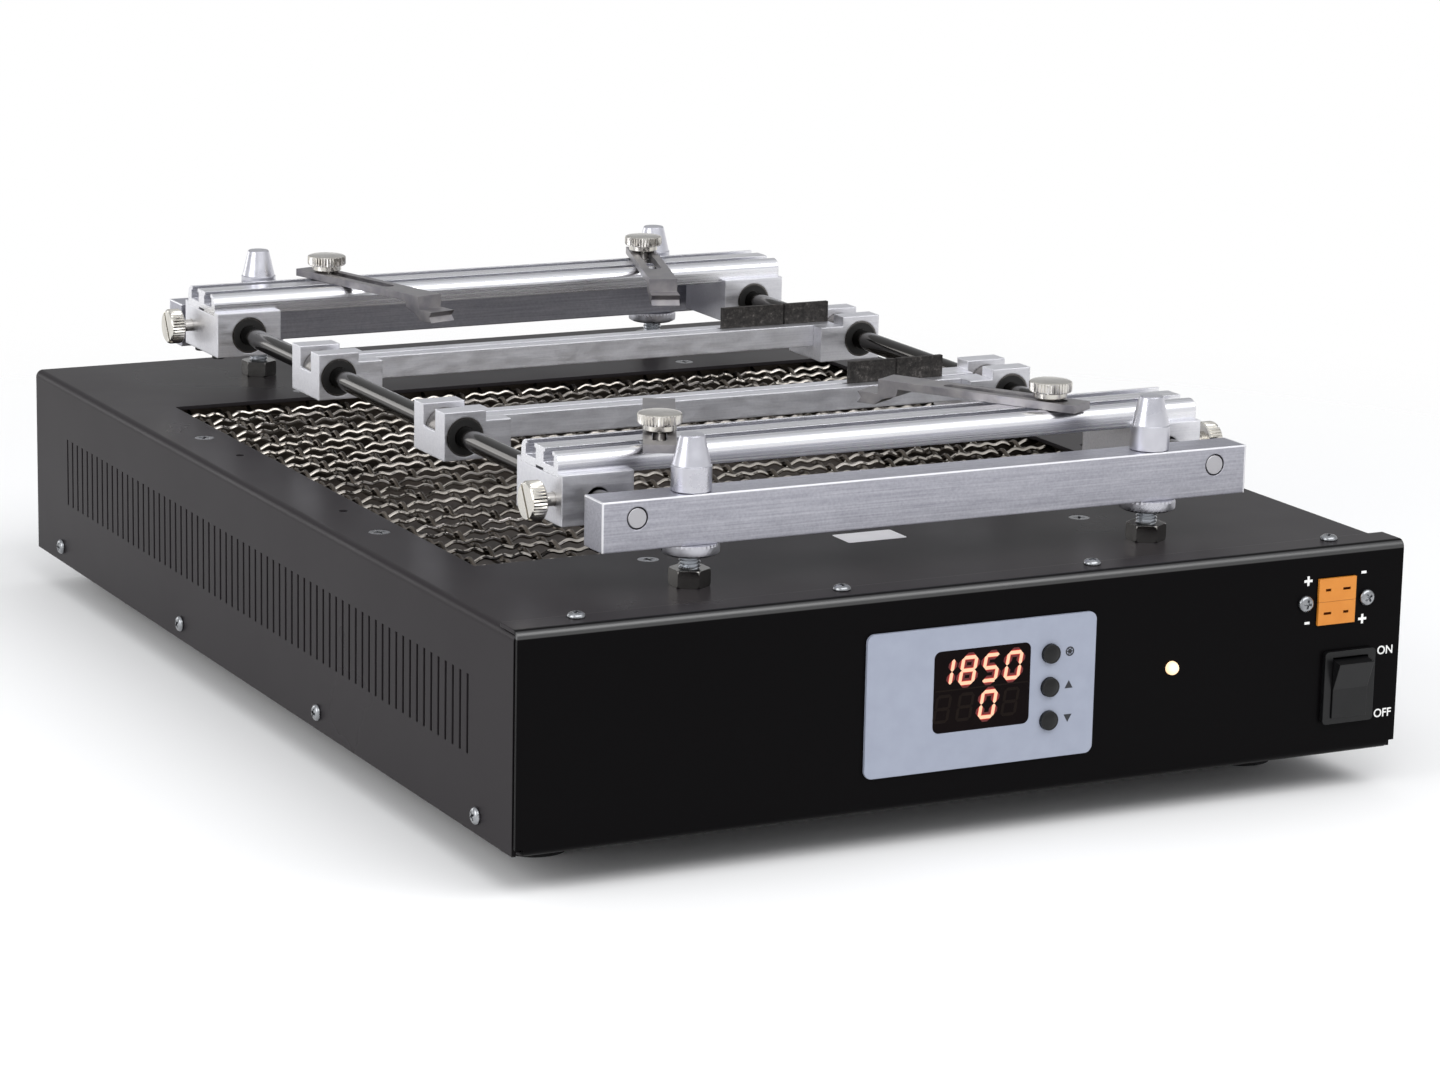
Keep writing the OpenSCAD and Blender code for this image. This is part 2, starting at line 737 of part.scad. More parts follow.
module fascia_plate() {
    color("#a7adbc") difference() {
        front_plate(0, -half_d, floor_z + fascia_rise, fascia_w, fascia_h, fascia_t, 3);
        front_plate(0, -half_d + 1, floor_z + window_rise, window_w + 2 * face_gap, window_h + 2 * face_gap,
            fascia_t + 2, window_r + face_gap);
        for (i = [-1:1]) rod_along_y(button_x, -half_d - fascia_t - 1,
            floor_z + button_rise + i * button_pitch, button_d / 2 + face_gap, fascia_t + 2);
    }
}

module display_window() {
    color("#2a1012") front_plate(0, -half_d + sheet_t, floor_z + window_rise, window_w, window_h,
        sheet_t + fascia_t, window_r);
}

module push_button(i) {
    y = -half_d - fascia_t;
    color("#131313") translate([button_x, 0, floor_z + button_rise + i * button_pitch]) {
        rod_along_y(0, -half_d + face_gap, 0, button_d / 2 + 1, button_flange);
        rod_along_y(0, y - 1.4, 0, button_d / 2, fascia_t + 1.5 + face_gap);
        intersection() {
            translate([0, y - 1.4 + button_d, 0]) sphere(r = button_d + 0.6, $fn = 64);
            rod_along_y(0, y - 3, 0, button_d / 2, 2);
        }
    }
}

module menu_button() push_button(1);
module up_button() push_button(0);
module down_button() push_button(-1);

module status_lamp() {
    color("#ffe7b8") translate([lamp_x, -half_d, floor_z + lamp_rise]) rotate([90, 0, 0]) rotate_extrude() {
        translate([0, -8]) square([lamp_d / 2 + 0.7, 8 - sheet_t]);
        translate([0, -sheet_t]) square([lamp_d / 2, sheet_t + 0.5]);
        intersection() {
            translate([0, 0.5]) circle(lamp_d / 2);
            translate([0, 0.5]) square([lamp_d, lamp_d]);
        }
    }
}

module sensor_sockets() {
    proud = 1;
    depth = 14;
    color("#e09a33") for (s = [-1, 1]) difference() {
        block(socket_x, -half_d - proud + depth / 2,
            floor_z + socket_rise + min(0, s) * socket_h + face_gap / 2,
            socket_w, depth, socket_h - face_gap);
        for (t = [-1, 1]) block(socket_x + t * socket_w / 4, -half_d - proud,
            floor_z + socket_rise + s * socket_h / 2 - 0.5, s * t > 0 ? 3.4 : 2.4, depth, 1);
    }
    color(steel) difference() {
        block(socket_x, front_back + sheet_t / 2, floor_z + socket_rise - socket_h - 3,
            socket_screw_pitch + pan_d, sheet_t, 2 * socket_h + 6);
        block(socket_x, front_back, floor_z + socket_rise - socket_h - face_gap,
            socket_w + 2 * face_gap, 4 * sheet_t, 2 * (socket_h + face_gap));
        at_socket_screws() screw_hole();
    }
}

// power switch: the rocker's pin lies on the panel's face plane
switch_frame_t = 2;
switch_z = floor_z + switch_rise;
rocker_half = switch_h / 2 - 3;
rocker_w = switch_w - 7;

module switch_housing() {
    back = 16;
    color("#161616") difference() {
        union() {
            front_plate(switch_x, -half_d, switch_z, switch_w, switch_h, switch_frame_t, 1.5);
            block(switch_x, -half_d + back / 2, switch_z - switch_h / 2 + 1,
                switch_w - 2, back, switch_h - 2);
        }
        block(switch_x, -half_d + back / 2 - 4, switch_z - rocker_half - 0.7, rocker_w + 2 * slot_gap,
            back, 2 * rocker_half + 1.4);
        rod_along_x(switch_x - rocker_w / 2 - 1.2, -half_d, switch_z, 1.2 + run_fit, rocker_w + 2.4);
    }
}

module switch_rocker() {
    rise = rocker_half * tan(rocker_swing / 2);
    lift = switch_frame_t + 0.8;
    color("#101010") translate([switch_x, -half_d, switch_z]) rotate([rocker_swing / 2, 0, 0]) {
        rotate([0, -90, 0]) linear_extrude(rocker_w, center = true) polygon([[-rocker_half, -lift - rise],
            [0, -lift], [rocker_half, -lift - rise], [rocker_half, 0.8], [rocker_half / 2, 4.6],
            [-rocker_half / 2, 4.6], [-rocker_half, 0.8]]);
        rod_along_x(-rocker_w / 2 - 1, 0, 0, 1.2, rocker_w + 2);
    }
}

// rear power inlet with its flange and contact pins
module power_inlet() {
    z = floor_z + inlet_rise;
    color("#151515") difference() {
        union() {
            block(inlet_x, half_d + inlet_flange_t / 2, z - inlet_body_h / 2 - inlet_wall,
                2 * inlet_screw_x + 2.6 * screw_d, inlet_flange_t, inlet_body_h + 2 * inlet_wall);
            block(inlet_x, half_d - inlet_deep / 2, z - inlet_body_h / 2, inlet_body_w, inlet_deep,
                inlet_body_h);
        }
        block(inlet_x, half_d + inlet_wall, z - inlet_body_h / 2 + inlet_wall,
            inlet_body_w - 2 * inlet_wall, 2 * inlet_deep - 2 * inlet_wall, inlet_body_h - 2 * inlet_wall);
        for (s = [-1, 1])
            rod_along_y(inlet_x + s * inlet_screw_x, half_d - 1, z, screw_d / 2, inlet_flange_t + 2);
    }
    color(nickel) for (p = [-1, 0, 1])
        translate([inlet_x + p * pin_pitch - pin_w / 2, half_d - inlet_deep + inlet_wall / 2,
            z - abs(p) * pin_h]) cube([pin_w, inlet_deep * 0.9 - inlet_wall / 2, pin_h]);
}

// post stud with the hex nuts that clamp it to the deck sheet
module hex_nut(z) {
    difference() {
        translate([0, 0, z]) cylinder(h = hex_h, d = hex_af / cos(30), $fn = 6);
        translate([0, 0, z - 1]) cylinder(h = hex_h + 2, r = post_hole_r);
    }
}

module post_studs() {
    color(steel) at_posts() {
        translate([0, 0, stud_low]) cylinder(h = stud_top - stud_low, d = post_d);
        hex_nut(deck_z);
        hex_nut(deck_under - hex_h);
    }
}

// levelling nut under an end bar and tapered clamp nut over it
module post_nuts(x, y) {
    translate([x, y, 0]) {
        color("#a8a7a9") translate([0, 0, bar_z - face_gap - level_nut_h]) rotate_extrude()
            polygon([[post_hole_r, 0], [level_nut_d * 0.41, 0], [level_nut_d / 2, level_nut_h * 0.3],
                [level_nut_d / 2, level_nut_h * 0.75], [level_nut_d * 0.45, level_nut_h],
                [post_hole_r, level_nut_h]]);
        color("#c3c3cb") translate([0, 0, bar_top + face_gap]) difference() {
            union() {
                cylinder(h = taper_base_h, d = taper_nut_d);
                translate([0, 0, taper_base_h])
                    cylinder(h = taper_nut_h - taper_base_h, d1 = taper_nut_d, d2 = taper_tip_d);
            }
            translate([0, 0, -1]) cylinder(h = taper_nut_h - 1, r = post_hole_r);
        }
    }
}

module front_left_nuts() post_nuts(-post_x, -post_y);
module front_right_nuts() post_nuts(post_x, -post_y);
module rear_left_nuts() post_nuts(-post_x, post_y);
module rear_right_nuts() post_nuts(post_x, post_y);

module end_bars() {
    color(aluminium) for (s = [-1, 1]) difference() {
        block(0, s * post_y, bar_z, bar_l, bar_d, bar_h);
        for (x = [-1, 1]) {
            rod_along_y(x * rod_x, s * post_y - bar_d, rod_z, rod_hole_r, 2 * bar_d);
            translate([x * post_x, s * post_y, bar_z - 1]) cylinder(h = bar_h + 2, d = post_d + 0.7);
        }
    }
}

module guide_rods() {
    l = 2 * post_y + bar_d;
    r = rod_d / 2;
    color("#3f3b38") for (s = [-1, 1]) translate([s * rod_x, 0, rod_z]) rotate([90, 0, 0]) rotate_extrude()
        polygon([[0, -l / 2], [r - rod_chamfer, -l / 2], [r, rod_chamfer - l / 2],
            [r, l / 2 - rod_chamfer], [r - rod_chamfer, l / 2], [0, l / 2]]);
}

// y: middle of the carriage; out: +1 where the outer face is to the rear, -1 to the front
module clamp_blocks(y, out) {
    outer = rod_x + clamp_block_w / 2;
    bore_y = out > 0 ? -clamp_block_d / 2 - 1 : clamp_block_d / 2 - bearing_l - face_gap;
    color(aluminium) for (s = [-1, 1]) difference() {
        block(s * rod_x, y, block_z, clamp_block_w, clamp_block_d, block_h);
        rod_along_y(s * rod_x, y - clamp_block_d, rod_z, rod_d / 2 + rod_clear, 2 * clamp_block_d);
        rod_along_y(s * rod_x, y + bore_y, rod_z, bearing_hole_r, bearing_l + 1 + face_gap);
        block(s * rod_x, y, profile_z, clamp_block_w + 2, profile_d + 2 * face_gap, block_h);
        rod_along_x(s > 0 ? rod_x : -outer - 1, y + out * (clamp_block_d / 2 - lock_inset), rod_z,
            thread_hole_r, clamp_block_w / 2 + 1);
    }
}

module slotted_profile(y) {
    color(aluminium) difference() {
        translate([0, y, profile_z]) rotate([90, 0, 90]) linear_extrude(profile_l, center = true)
            arch(profile_d, profile_h, profile_r);
        for (s = [-1, 1]) {
            block(0, y + s * slot_y, slot_floor, profile_l + 2, slot_inner, slot_deep);
            block(0, y + s * slot_y, slot_floor, profile_l + 2, slot_mouth, profile_h);
        }
        block(0, y, profile_z - 1, profile_l + 2, slot_mouth, 2);
    }
}

// bearing sleeve with its bore, from y towards the rear
module bearing(x, y) {
    difference() {
        rod_along_y(x, y, rod_z, bearing_d / 2, bearing_l);
        rod_along_y(x, y - 1, rod_z, rod_hole_r, bearing_l + 2);
    }
}

module bearing_pair(y) {
    color(dark_steel) for (s = [-1, 1]) bearing(s * rod_x, y);
}

// slotted thumbscrew that locks a carriage on its rod
module lock_screw(s, y) {
    face = rod_x + clamp_block_w / 2;
    tip = rod_x + rod_d / 2 + slot_gap + face_gap;
    color(nickel) translate([0, y, rod_z]) mirror([s > 0 ? 0 : 1, 0, 0]) difference() {
        union() {
            rod_along_x(tip, 0, 0, thread_d / 2, face + lock_gap + 1 - tip);
            rod_along_x(face + lock_gap, 0, 0, lock_head_d / 2 - 0.6, lock_head_h);
            rod_along_x(face + lock_gap + 0.6, 0, 0, lock_head_d / 2, lock_head_h - 1.2);
        }
        block(face + lock_gap + lock_head_h, 0, -lock_head_d, 2.4, 1.4, 2 * lock_head_d);
    }
}

rear_lock_y = rear_clamp_y + clamp_block_d / 2 - lock_inset;
front_lock_y = -front_clamp_y - clamp_block_d / 2 + lock_inset;

module rear_clamp_blocks() clamp_blocks(rear_clamp_y, 1);
module rear_clamp_profile() slotted_profile(rear_clamp_y);
module rear_clamp_bearings() bearing_pair(rear_clamp_y - clamp_block_d / 2);
module front_clamp_blocks() clamp_blocks(-front_clamp_y, -1);
module front_clamp_profile() slotted_profile(-front_clamp_y);
module front_clamp_bearings() bearing_pair(-front_clamp_y + clamp_block_d / 2 - bearing_l);
module rear_left_lock() lock_screw(-1, rear_lock_y);
module rear_right_lock() lock_screw(1, rear_lock_y);
module front_left_lock() lock_screw(-1, front_lock_y);
module front_right_lock() lock_screw(1, front_lock_y);

// y: front face of the blocks
module support_blocks(y) {
    mid = y + support_block_d / 2;
    color(aluminium) for (s = [-1, 1]) difference() {
        union() {
            block(s * rod_x, mid, block_z, support_block_w, support_block_d, block_h);
            block(s * (support_inner - arm_l / 2), mid, block_z,
                arm_l + 0.02, support_block_d, arm_top - block_z);
        }
        rod_along_y(s * rod_x, y - 1, rod_z, bearing_hole_r, support_block_d + 2);
        block(s * rod_x, mid, block_top - notch_deep, support_block_w + 2, notch_w, block_h);
        block(s * (support_inner - arm_l), mid, support_bar_z,
            2 * arm_l, support_bar_d + 2 * face_gap, block_h);
    }
}

module support_bar(y) {
    mid = y + support_block_d / 2;
    l = 2 * (support_inner - face_gap);
    color(aluminium) difference() {
        block(0, mid, support_bar_z, l, support_bar_d, support_bar_h);
        block(0, mid, arm_top - groove_deep, l + 2, groove_w, groove_deep + 1);
    }
}

// thin plates that stand in the groove of a support bar, from x to the right
module rest_plates(y, x, lengths) {
    mid = y + support_block_d / 2;
    low = arm_top - groove_deep + slot_gap;
    color("#2b2827") for (i = [0:len(lengths) - 1]) {
        start = x + (i > 0 ? lengths[i - 1] + 1 : 0);
        translate([start, mid - groove_w / 2 + slot_gap, low])
            cube([lengths[i], groove_w - 2 * slot_gap, arm_top + rest_h - low]);
    }
}

module rear_support_blocks() support_blocks(rear_support_y);
module rear_support_bar() support_bar(rear_support_y);
module rear_support_bearings() bearing_pair(rear_support_y);
module rear_rests() rest_plates(rear_support_y, rear_rest_x, [rest_long, rest_short]);
module front_support_blocks() support_blocks(-front_support_y);
module front_support_bar() support_bar(-front_support_y);
module front_support_bearings() bearing_pair(-front_support_y);
module front_rests() rest_plates(-front_support_y, front_rest_x, [rest_short, rest_short]);

// slot nut, on its screw's axis
module slot_nut() {
    h = slot_deep - face_gap - slot_gap;
    color(steel) difference() {
        union() {
            block(0, 0, nut_top_z - h, 14, slot_inner - 2 * slot_gap, h);
            block(0, 0, nut_top_z - 1, 14, slot_mouth - 2 * slot_gap, slot_lip + 1 - slot_gap);
        }
        translate([0, 0, nut_top_z - h - 1]) cylinder(h = profile_h, r = thread_hole_r);
    }
}

// finger along +X, with its slot over the screw's axis; reach is what stands behind the axis
module finger(reach) {
    ledge = finger_t - jaw_drop;
    low = ledge - jaw_lip;
    end = finger_l + jaw_ledge;
    color("#8f8c8c") translate([-reach, 0, finger_z]) difference() {
        rotate([90, 0, 0]) linear_extrude(finger_w, center = true) polygon([[0, 0], [0, finger_t],
            [finger_l, finger_t], [finger_l, ledge], [end, ledge], [end - 1.8, ledge - jaw_lip / 2],
            [end, low], [finger_l + 1.5, low], [finger_l - 2, low * 0.66], [finger_l - 8, low * 0.4],
            [finger_l - 8.6, 0]]);
        translate([0, 0, -1]) linear_extrude(finger_t + 2)
            long_hole(6.5, finger_slot_l, thread_d + 2 * slot_gap);
    }
}

// knurled thumbscrew: shank in the slot nut, shoulder on the finger
module clamp_screw() {
    shank_low = slot_floor + slot_gap;
    color(nickel) rotate_extrude() {
        translate([0, shank_low]) square([thread_d / 2, knob_z - shank_low + 1]);
        translate([0, knob_z]) polygon([[0, 0], [shoulder_d / 2 - 1.5, 0], [shoulder_d / 2, 1],
            [shoulder_d / 2, shoulder_h], [knob_d / 2 - 0.5, shoulder_h], [knob_d / 2, shoulder_h + 0.5],
            [knob_d / 2, shoulder_h + knob_h - 0.5], [knob_d / 2 - 0.5, shoulder_h + knob_h],
            [0, shoulder_h + knob_h]]);
    }
}

// places of the four clamps, in the outer slots of the two profiles
module at_rear(x) translate([x, rear_clamp_y + slot_y, 0]) children();
module at_front(x) translate([x, -front_clamp_y - slot_y, 0]) children();

module rear_left_slot_nut() at_rear(rear_left_x) slot_nut();
module rear_left_finger() at_rear(rear_left_x) rotate(rear_left_turn) finger(finger_reach);
module rear_left_screw() at_rear(rear_left_x) clamp_screw();
module rear_right_slot_nut() at_rear(rear_right_x) slot_nut();
module rear_right_finger() at_rear(rear_right_x) rotate(rear_right_turn) finger(finger_reach);
module rear_right_screw() at_rear(rear_right_x) clamp_screw();
module front_left_slot_nut() at_front(front_left_x) slot_nut();
module front_left_finger() at_front(front_left_x) rotate(front_left_turn) finger(finger_reach_back);
module front_left_screw() at_front(front_left_x) clamp_screw();
module front_right_slot_nut() at_front(front_right_x) slot_nut();
module front_right_finger() at_front(front_right_x) rotate(front_right_turn) finger(finger_reach);
module front_right_screw() at_front(front_right_x) clamp_screw();

base_tray();
front_panel();
top_cover();
rubber_feet();
cover_screws();
flush_screws();
heater_mesh();
reflector_pan();
heater_rails();
ceramic_heaters();
control_board();
power_relay();
fascia_plate();
display_window();
status_lamp();
sensor_sockets();
switch_housing();
power_inlet();
post_studs();
menu_button();
up_button();
down_button();
switch_rocker();
front_left_nuts();
front_right_nuts();
rear_left_nuts();
rear_right_nuts();
end_bars();
guide_rods();
rear_clamp_blocks();
rear_clamp_profile();
rear_clamp_bearings();
front_clamp_blocks();
front_clamp_profile();
front_clamp_bearings();
rear_left_lock();
rear_right_lock();
front_left_lock();
front_right_lock();
rear_support_blocks();
rear_support_bar();
rear_support_bearings();
rear_rests();
front_support_blocks();
front_support_bar();
front_support_bearings();
front_rests();
rear_left_slot_nut();
rear_left_finger();
rear_left_screw();
rear_right_slot_nut();
rear_right_finger();
rear_right_screw();
front_left_slot_nut();
front_left_finger();
front_left_screw();
front_right_slot_nut();
front_right_finger();
front_right_screw();
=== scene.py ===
"""Bench preheater for circuit boards: the finishes, the woven mesh and the turned hardware."""
import math

import bmesh
import bpy
from mathutils import Matrix, Vector


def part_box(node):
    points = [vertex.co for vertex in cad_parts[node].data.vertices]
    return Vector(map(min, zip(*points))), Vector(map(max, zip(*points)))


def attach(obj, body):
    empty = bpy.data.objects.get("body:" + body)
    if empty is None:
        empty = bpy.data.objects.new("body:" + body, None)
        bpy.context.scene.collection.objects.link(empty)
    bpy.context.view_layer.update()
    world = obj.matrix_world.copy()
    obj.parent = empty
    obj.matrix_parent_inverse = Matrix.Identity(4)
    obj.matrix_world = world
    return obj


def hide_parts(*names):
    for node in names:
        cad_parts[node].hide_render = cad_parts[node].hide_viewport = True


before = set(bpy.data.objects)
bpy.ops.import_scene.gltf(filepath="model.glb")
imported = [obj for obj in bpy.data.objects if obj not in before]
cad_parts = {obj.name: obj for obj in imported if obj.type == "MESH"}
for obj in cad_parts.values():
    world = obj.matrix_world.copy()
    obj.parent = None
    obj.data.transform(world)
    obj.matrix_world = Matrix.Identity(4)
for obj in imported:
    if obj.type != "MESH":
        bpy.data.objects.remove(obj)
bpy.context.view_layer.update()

# Lengths are in millimetres until they are multiplied by MM
MM = 0.001
SHEET = 1.5                 # thickness of the housing's steel sheet
HOUSING_FLOOR = 15.0        # underside of the tray, above the feet
DECK = 93.0                 # top of the deck
FOLD = DECK + SHEET         # top of the front panel, which laps over the deck
FACE = -250.0               # front of the housing
REAR = 250.0                # back of the housing
SIDE = 180.0                # each side of the housing, from the middle
FASCIA_FACE = FACE - 1.2    # front of the controller's fascia
QUARTER = math.pi / 2
ENDS = ("rear", "front")
KINDS = ("clamp", "support")
CORNERS = ("rear_left", "rear_right", "front_left", "front_right")


# Materials

def srgb(code):
    """Linear colour of an sRGB hex code."""
    parts = [int(code[i:i + 2], 16) / 255 for i in (1, 3, 5)]
    return [p / 12.92 if p <= 0.04045 else ((p + 0.055) / 1.055) ** 2.4 for p in parts] + [1.0]


def add(tree, kind, links=None, sockets=None, **settings):
    """Add a shader node with its settings, socket values and incoming links."""
    made = tree.nodes.new("ShaderNode" + kind)
    for key, value in settings.items():
        setattr(made, key, value)
    for key, value in (sockets or {}).items():
        made.inputs[key].default_value = value
    for key, source in (links or {}).items():
        tree.links.new(source, made.inputs[key])
    return made


def finish(name, code, **sockets):
    """Start a material: its tree, its shader and the object coordinates it reads."""
    material = bpy.data.materials.new(name)
    material.use_nodes = True
    tree = material.node_tree
    shader = tree.nodes["Principled BSDF"]
    shader.inputs["Base Color"].default_value = srgb(code)
    for key, value in sockets.items():
        shader.inputs[key.replace("_", " ")].default_value = value
    place = add(tree, "TexCoord").outputs["Object"]
    return material, tree, shader, place


def per_mm(length):
    """Scale of a pattern whose features are so many millimetres long."""
    return 1 / (length * MM)


def stretched(x, y, z):
    """Mapping scale of a pattern whose features are x, y and z millimetres long."""
    return (per_mm(x), per_mm(y), per_mm(z))


def blend_colours(tree, shader, factor, stops):
    """Colour ramp over a pattern, sent to the base colour."""
    ramp = add(tree, "ValToRGB", {"Fac": factor})
    while len(ramp.color_ramp.elements) < len(stops):
        ramp.color_ramp.elements.new(0.5)
    for element, (position, code) in zip(ramp.color_ramp.elements, stops):
        element.position = position
        element.color = srgb(code)
    tree.links.new(ramp.outputs["Color"], shader.inputs["Base Color"])


def vary_roughness(tree, shader, factor, low, high):
    """Map a pattern from 0.3..0.7 to a band of roughness."""
    band = add(tree, "MapRange", {"Value": factor},
               {"From Min": 0.3, "From Max": 0.7, "To Min": low, "To Max": high})
    tree.links.new(band.outputs["Result"], shader.inputs["Roughness"])


def relief(tree, shader, height, depth_mm, strength, edge_mm=0.0):
    """Bump from a pattern, over edges that are softened by edge_mm."""
    links = {"Height": height}
    if edge_mm:
        soft = add(tree, "Bevel", sockets={"Radius": edge_mm * MM}, samples=4)
        links["Normal"] = soft.outputs["Normal"]
    bump = add(tree, "Bump", links, {"Strength": strength, "Distance": depth_mm * MM})
    tree.links.new(bump.outputs["Normal"], shader.inputs["Normal"])


def powder_coat():
    # Powder-coated sheet steel: satin charcoal with a faint orange peel; the front face is painted
    # near black as painted shade, and the specular level rises along the fold's bend as a painted
    # highlight
    charcoal, black = "#2a2729", "#080708"
    material, tree, shader, place = finish("powder_coat_black", charcoal)
    cloud = add(tree, "TexNoise", {"Vector": place}, {"Scale": per_mm(60), "Detail": 3.0})
    peel = add(tree, "TexNoise", {"Vector": place}, {"Scale": per_mm(0.9), "Detail": 2.0})
    vary_roughness(tree, shader, cloud.outputs["Fac"], 0.27, 0.33)
    relief(tree, shader, peel.outputs["Fac"], 0.02, 0.12, 0.6)
    parts = add(tree, "SeparateXYZ", {0: place})
    # Painted shade: the front face goes from charcoal to near black, darker than the deck and sides
    # of the same paint
    face = add(tree, "MapRange", {"Value": parts.outputs["Y"]},
               {"From Min": (FACE + 3.4) * MM, "From Max": (FACE + 2.9) * MM})
    blend_colours(tree, shader, face.outputs[0], ((0.0, charcoal), (1.0, black)))
    # Painted highlight: the specular level is 0.042 over the paint and 1 on the front fold's bend,
    # so only the bend shines
    nose = add(tree, "MapRange", {"Value": parts.outputs["Y"]},
               {"From Min": (FACE + 1.7) * MM, "From Max": (FACE + 1.2) * MM})
    above = add(tree, "MapRange", {"Value": parts.outputs["Z"]},
                {"From Min": (FOLD - 3.1) * MM, "From Max": (FOLD - 2.7) * MM})
    painted_fold_highlight = add(tree, "Math", {0: nose.outputs[0], 1: above.outputs[0]}, operation="MULTIPLY")
    fold_highlight_level = add(tree, "MapRange", {"Value": painted_fold_highlight.outputs[0]}, {"To Min": 0.042, "To Max": 1.0})
    tree.links.new(fold_highlight_level.outputs[0], shader.inputs["Specular IOR Level"])
    return material


def near_edges(tree, place, corner, reach_mm):
    """Mask that is 1 along the outer edges of two bars, which end at a corner and mirror it."""
    parts = add(tree, "SeparateXYZ", {0: place})
    total = None
    for axis, limit in zip("XYZ", corner):
        far = parts.outputs[axis]
        if axis != "Z":
            far = add(tree, "Math", {0: far}, operation="ABSOLUTE").outputs[0]
        close = add(tree, "MapRange", {"Value": far},
                    {"From Min": limit - reach_mm * MM,
                     "From Max": limit - 0.5 * reach_mm * MM}).outputs[0]
        if total is None:
            total = close
        else:
            total = add(tree, "Math", {0: total, 1: close}, operation="ADD").outputs[0]
    both = add(tree, "MapRange", {"Value": total}, {"From Min": 1.3, "From Max": 1.7})
    return both.outputs[0]


def milled_aluminium(name, dark, middle, light, painted_edge_node=None):
    # Milled aluminium bar stock: pale silver with a cool cast, fine cutter lines and random
    # scratches;
    # on the node that it is given, the outer edges lighten to near white as a painted highlight
    material, tree, shader, place = finish(name, middle, Metallic=1.0)
    along = add(tree, "Mapping", {"Vector": place}, {"Scale": stretched(30, 0.5, 0.5)})
    lines = add(tree, "TexNoise", {"Vector": along.outputs["Vector"]},
                {"Scale": 1.0, "Detail": 3.0})
    speck = add(tree, "TexNoise", {"Vector": place},
                {"Scale": per_mm(1.1), "Detail": 4.0, "Roughness": 0.7})
    slant = add(tree, "Mapping", {"Vector": place},
                {"Scale": stretched(9, 0.9, 3.2), "Rotation": (0.5, 0.6, 0.7)})
    marks = add(tree, "TexNoise", {"Vector": slant.outputs["Vector"]},
                {"Scale": 1.0, "Detail": 5.0})
    both = add(tree, "Mix", {"A": lines.outputs["Fac"], "B": speck.outputs["Fac"]},
               {"Factor": 0.45})
    shade = both.outputs["Result"]
    # Painted highlight: near white along the outer edges, where the small chamfers would catch the
    # light
    if painted_edge_node:
        _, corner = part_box(painted_edge_node)
        edges = near_edges(tree, place, corner, 0.75)
        shade = add(tree, "Math", {0: shade, 1: edges}, operation="ADD").outputs[0]
    blend_colours(tree, shader, shade,
                  ((0.25, dark), (0.5, middle), (0.78, light), (1.0, "#f0f0f4")))
    vary_roughness(tree, shader, marks.outputs["Fac"], 0.34, 0.52)
    relief(tree, shader, both.outputs["Result"], 0.06, 0.22, 0.7)
    return material


def extruded_aluminium():
    # Extruded aluminium profile: bright, drawn smooth along its length with faint die lines
    material, tree, shader, place = finish("extruded_aluminium", "#e9e9ed", Metallic=1.0)
    along = add(tree, "Mapping", {"Vector": place}, {"Scale": stretched(160, 0.5, 0.5)})
    lines = add(tree, "TexNoise", {"Vector": along.outputs["Vector"]},
                {"Scale": 1.0, "Detail": 2.0})
    blend_colours(tree, shader, lines.outputs["Fac"], ((0.3, "#dadae0"), (0.7, "#f3f3f6")))
    vary_roughness(tree, shader, lines.outputs["Fac"], 0.2, 0.32)
    relief(tree, shader, lines.outputs["Fac"], 0.03, 0.2, 0.3)
    return material


def plated(name, code, dark, smooth, rough, spot_mm):
    # Plated turned metal: even colour with faint cloudy tarnish and a tight highlight
    material, tree, shader, place = finish(name, code, Metallic=1.0)
    cloud = add(tree, "TexNoise", {"Vector": place}, {"Scale": per_mm(spot_mm), "Detail": 4.0})
    blend_colours(tree, shader, cloud.outputs["Fac"], ((0.3, dark), (0.65, code)))
    vary_roughness(tree, shader, cloud.outputs["Fac"], smooth, rough)
    fine = add(tree, "TexNoise", {"Vector": place}, {"Scale": per_mm(0.5), "Detail": 2.0})
    relief(tree, shader, fine.outputs["Fac"], 0.02, 0.12, 0.15)
    return material


def hard_chrome():
    # Ground and chromed guide rods: pale faced ends, and a shaft and rim darkened as painted
    # reflection of a dark room
    # Painted shade: the shaft colour is near black, standing for the dark surroundings that the
    # chrome mirrors
    darkened_shaft, faced = "#383634", "#bab9bd"
    material, tree, shader, place = finish("hard_chrome", darkened_shaft, Metallic=1.0)
    lo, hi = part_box("guide_rods")
    parts = add(tree, "SeparateXYZ", {0: place})
    along = add(tree, "Math", {0: parts.outputs["Y"]}, operation="ABSOLUTE")
    ends = add(tree, "MapRange", {"Value": along.outputs[0]},
               {"From Min": hi.y - 0.4 * MM, "From Max": hi.y - 0.2 * MM})
    aside = add(tree, "Math", {0: parts.outputs["X"]}, operation="ABSOLUTE")
    spoke = add(tree, "CombineXYZ", {"X": aside.outputs[0], "Y": parts.outputs["Z"]})
    centre = (hi.x - (hi.z - lo.z) / 2, (lo.z + hi.z) / 2, 0)
    reach = add(tree, "VectorMath", {0: spoke.outputs[0]}, {1: centre}, operation="DISTANCE")
    disc = add(tree, "MapRange", {"Value": reach.outputs["Value"]},
               {"From Min": 3.5 * MM, "From Max": 3.7 * MM, "To Min": 1.0, "To Max": 0.0})
    pale = add(tree, "Math", {0: ends.outputs[0], 1: disc.outputs[0]}, operation="MULTIPLY")
    blend_colours(tree, shader, pale.outputs[0], ((0.0, darkened_shaft), (1.0, faced)))
    matt = add(tree, "MapRange", {"Value": pale.outputs[0]}, {"To Min": 0.12, "To Max": 0.42})
    tree.links.new(matt.outputs[0], shader.inputs["Roughness"])
    return material


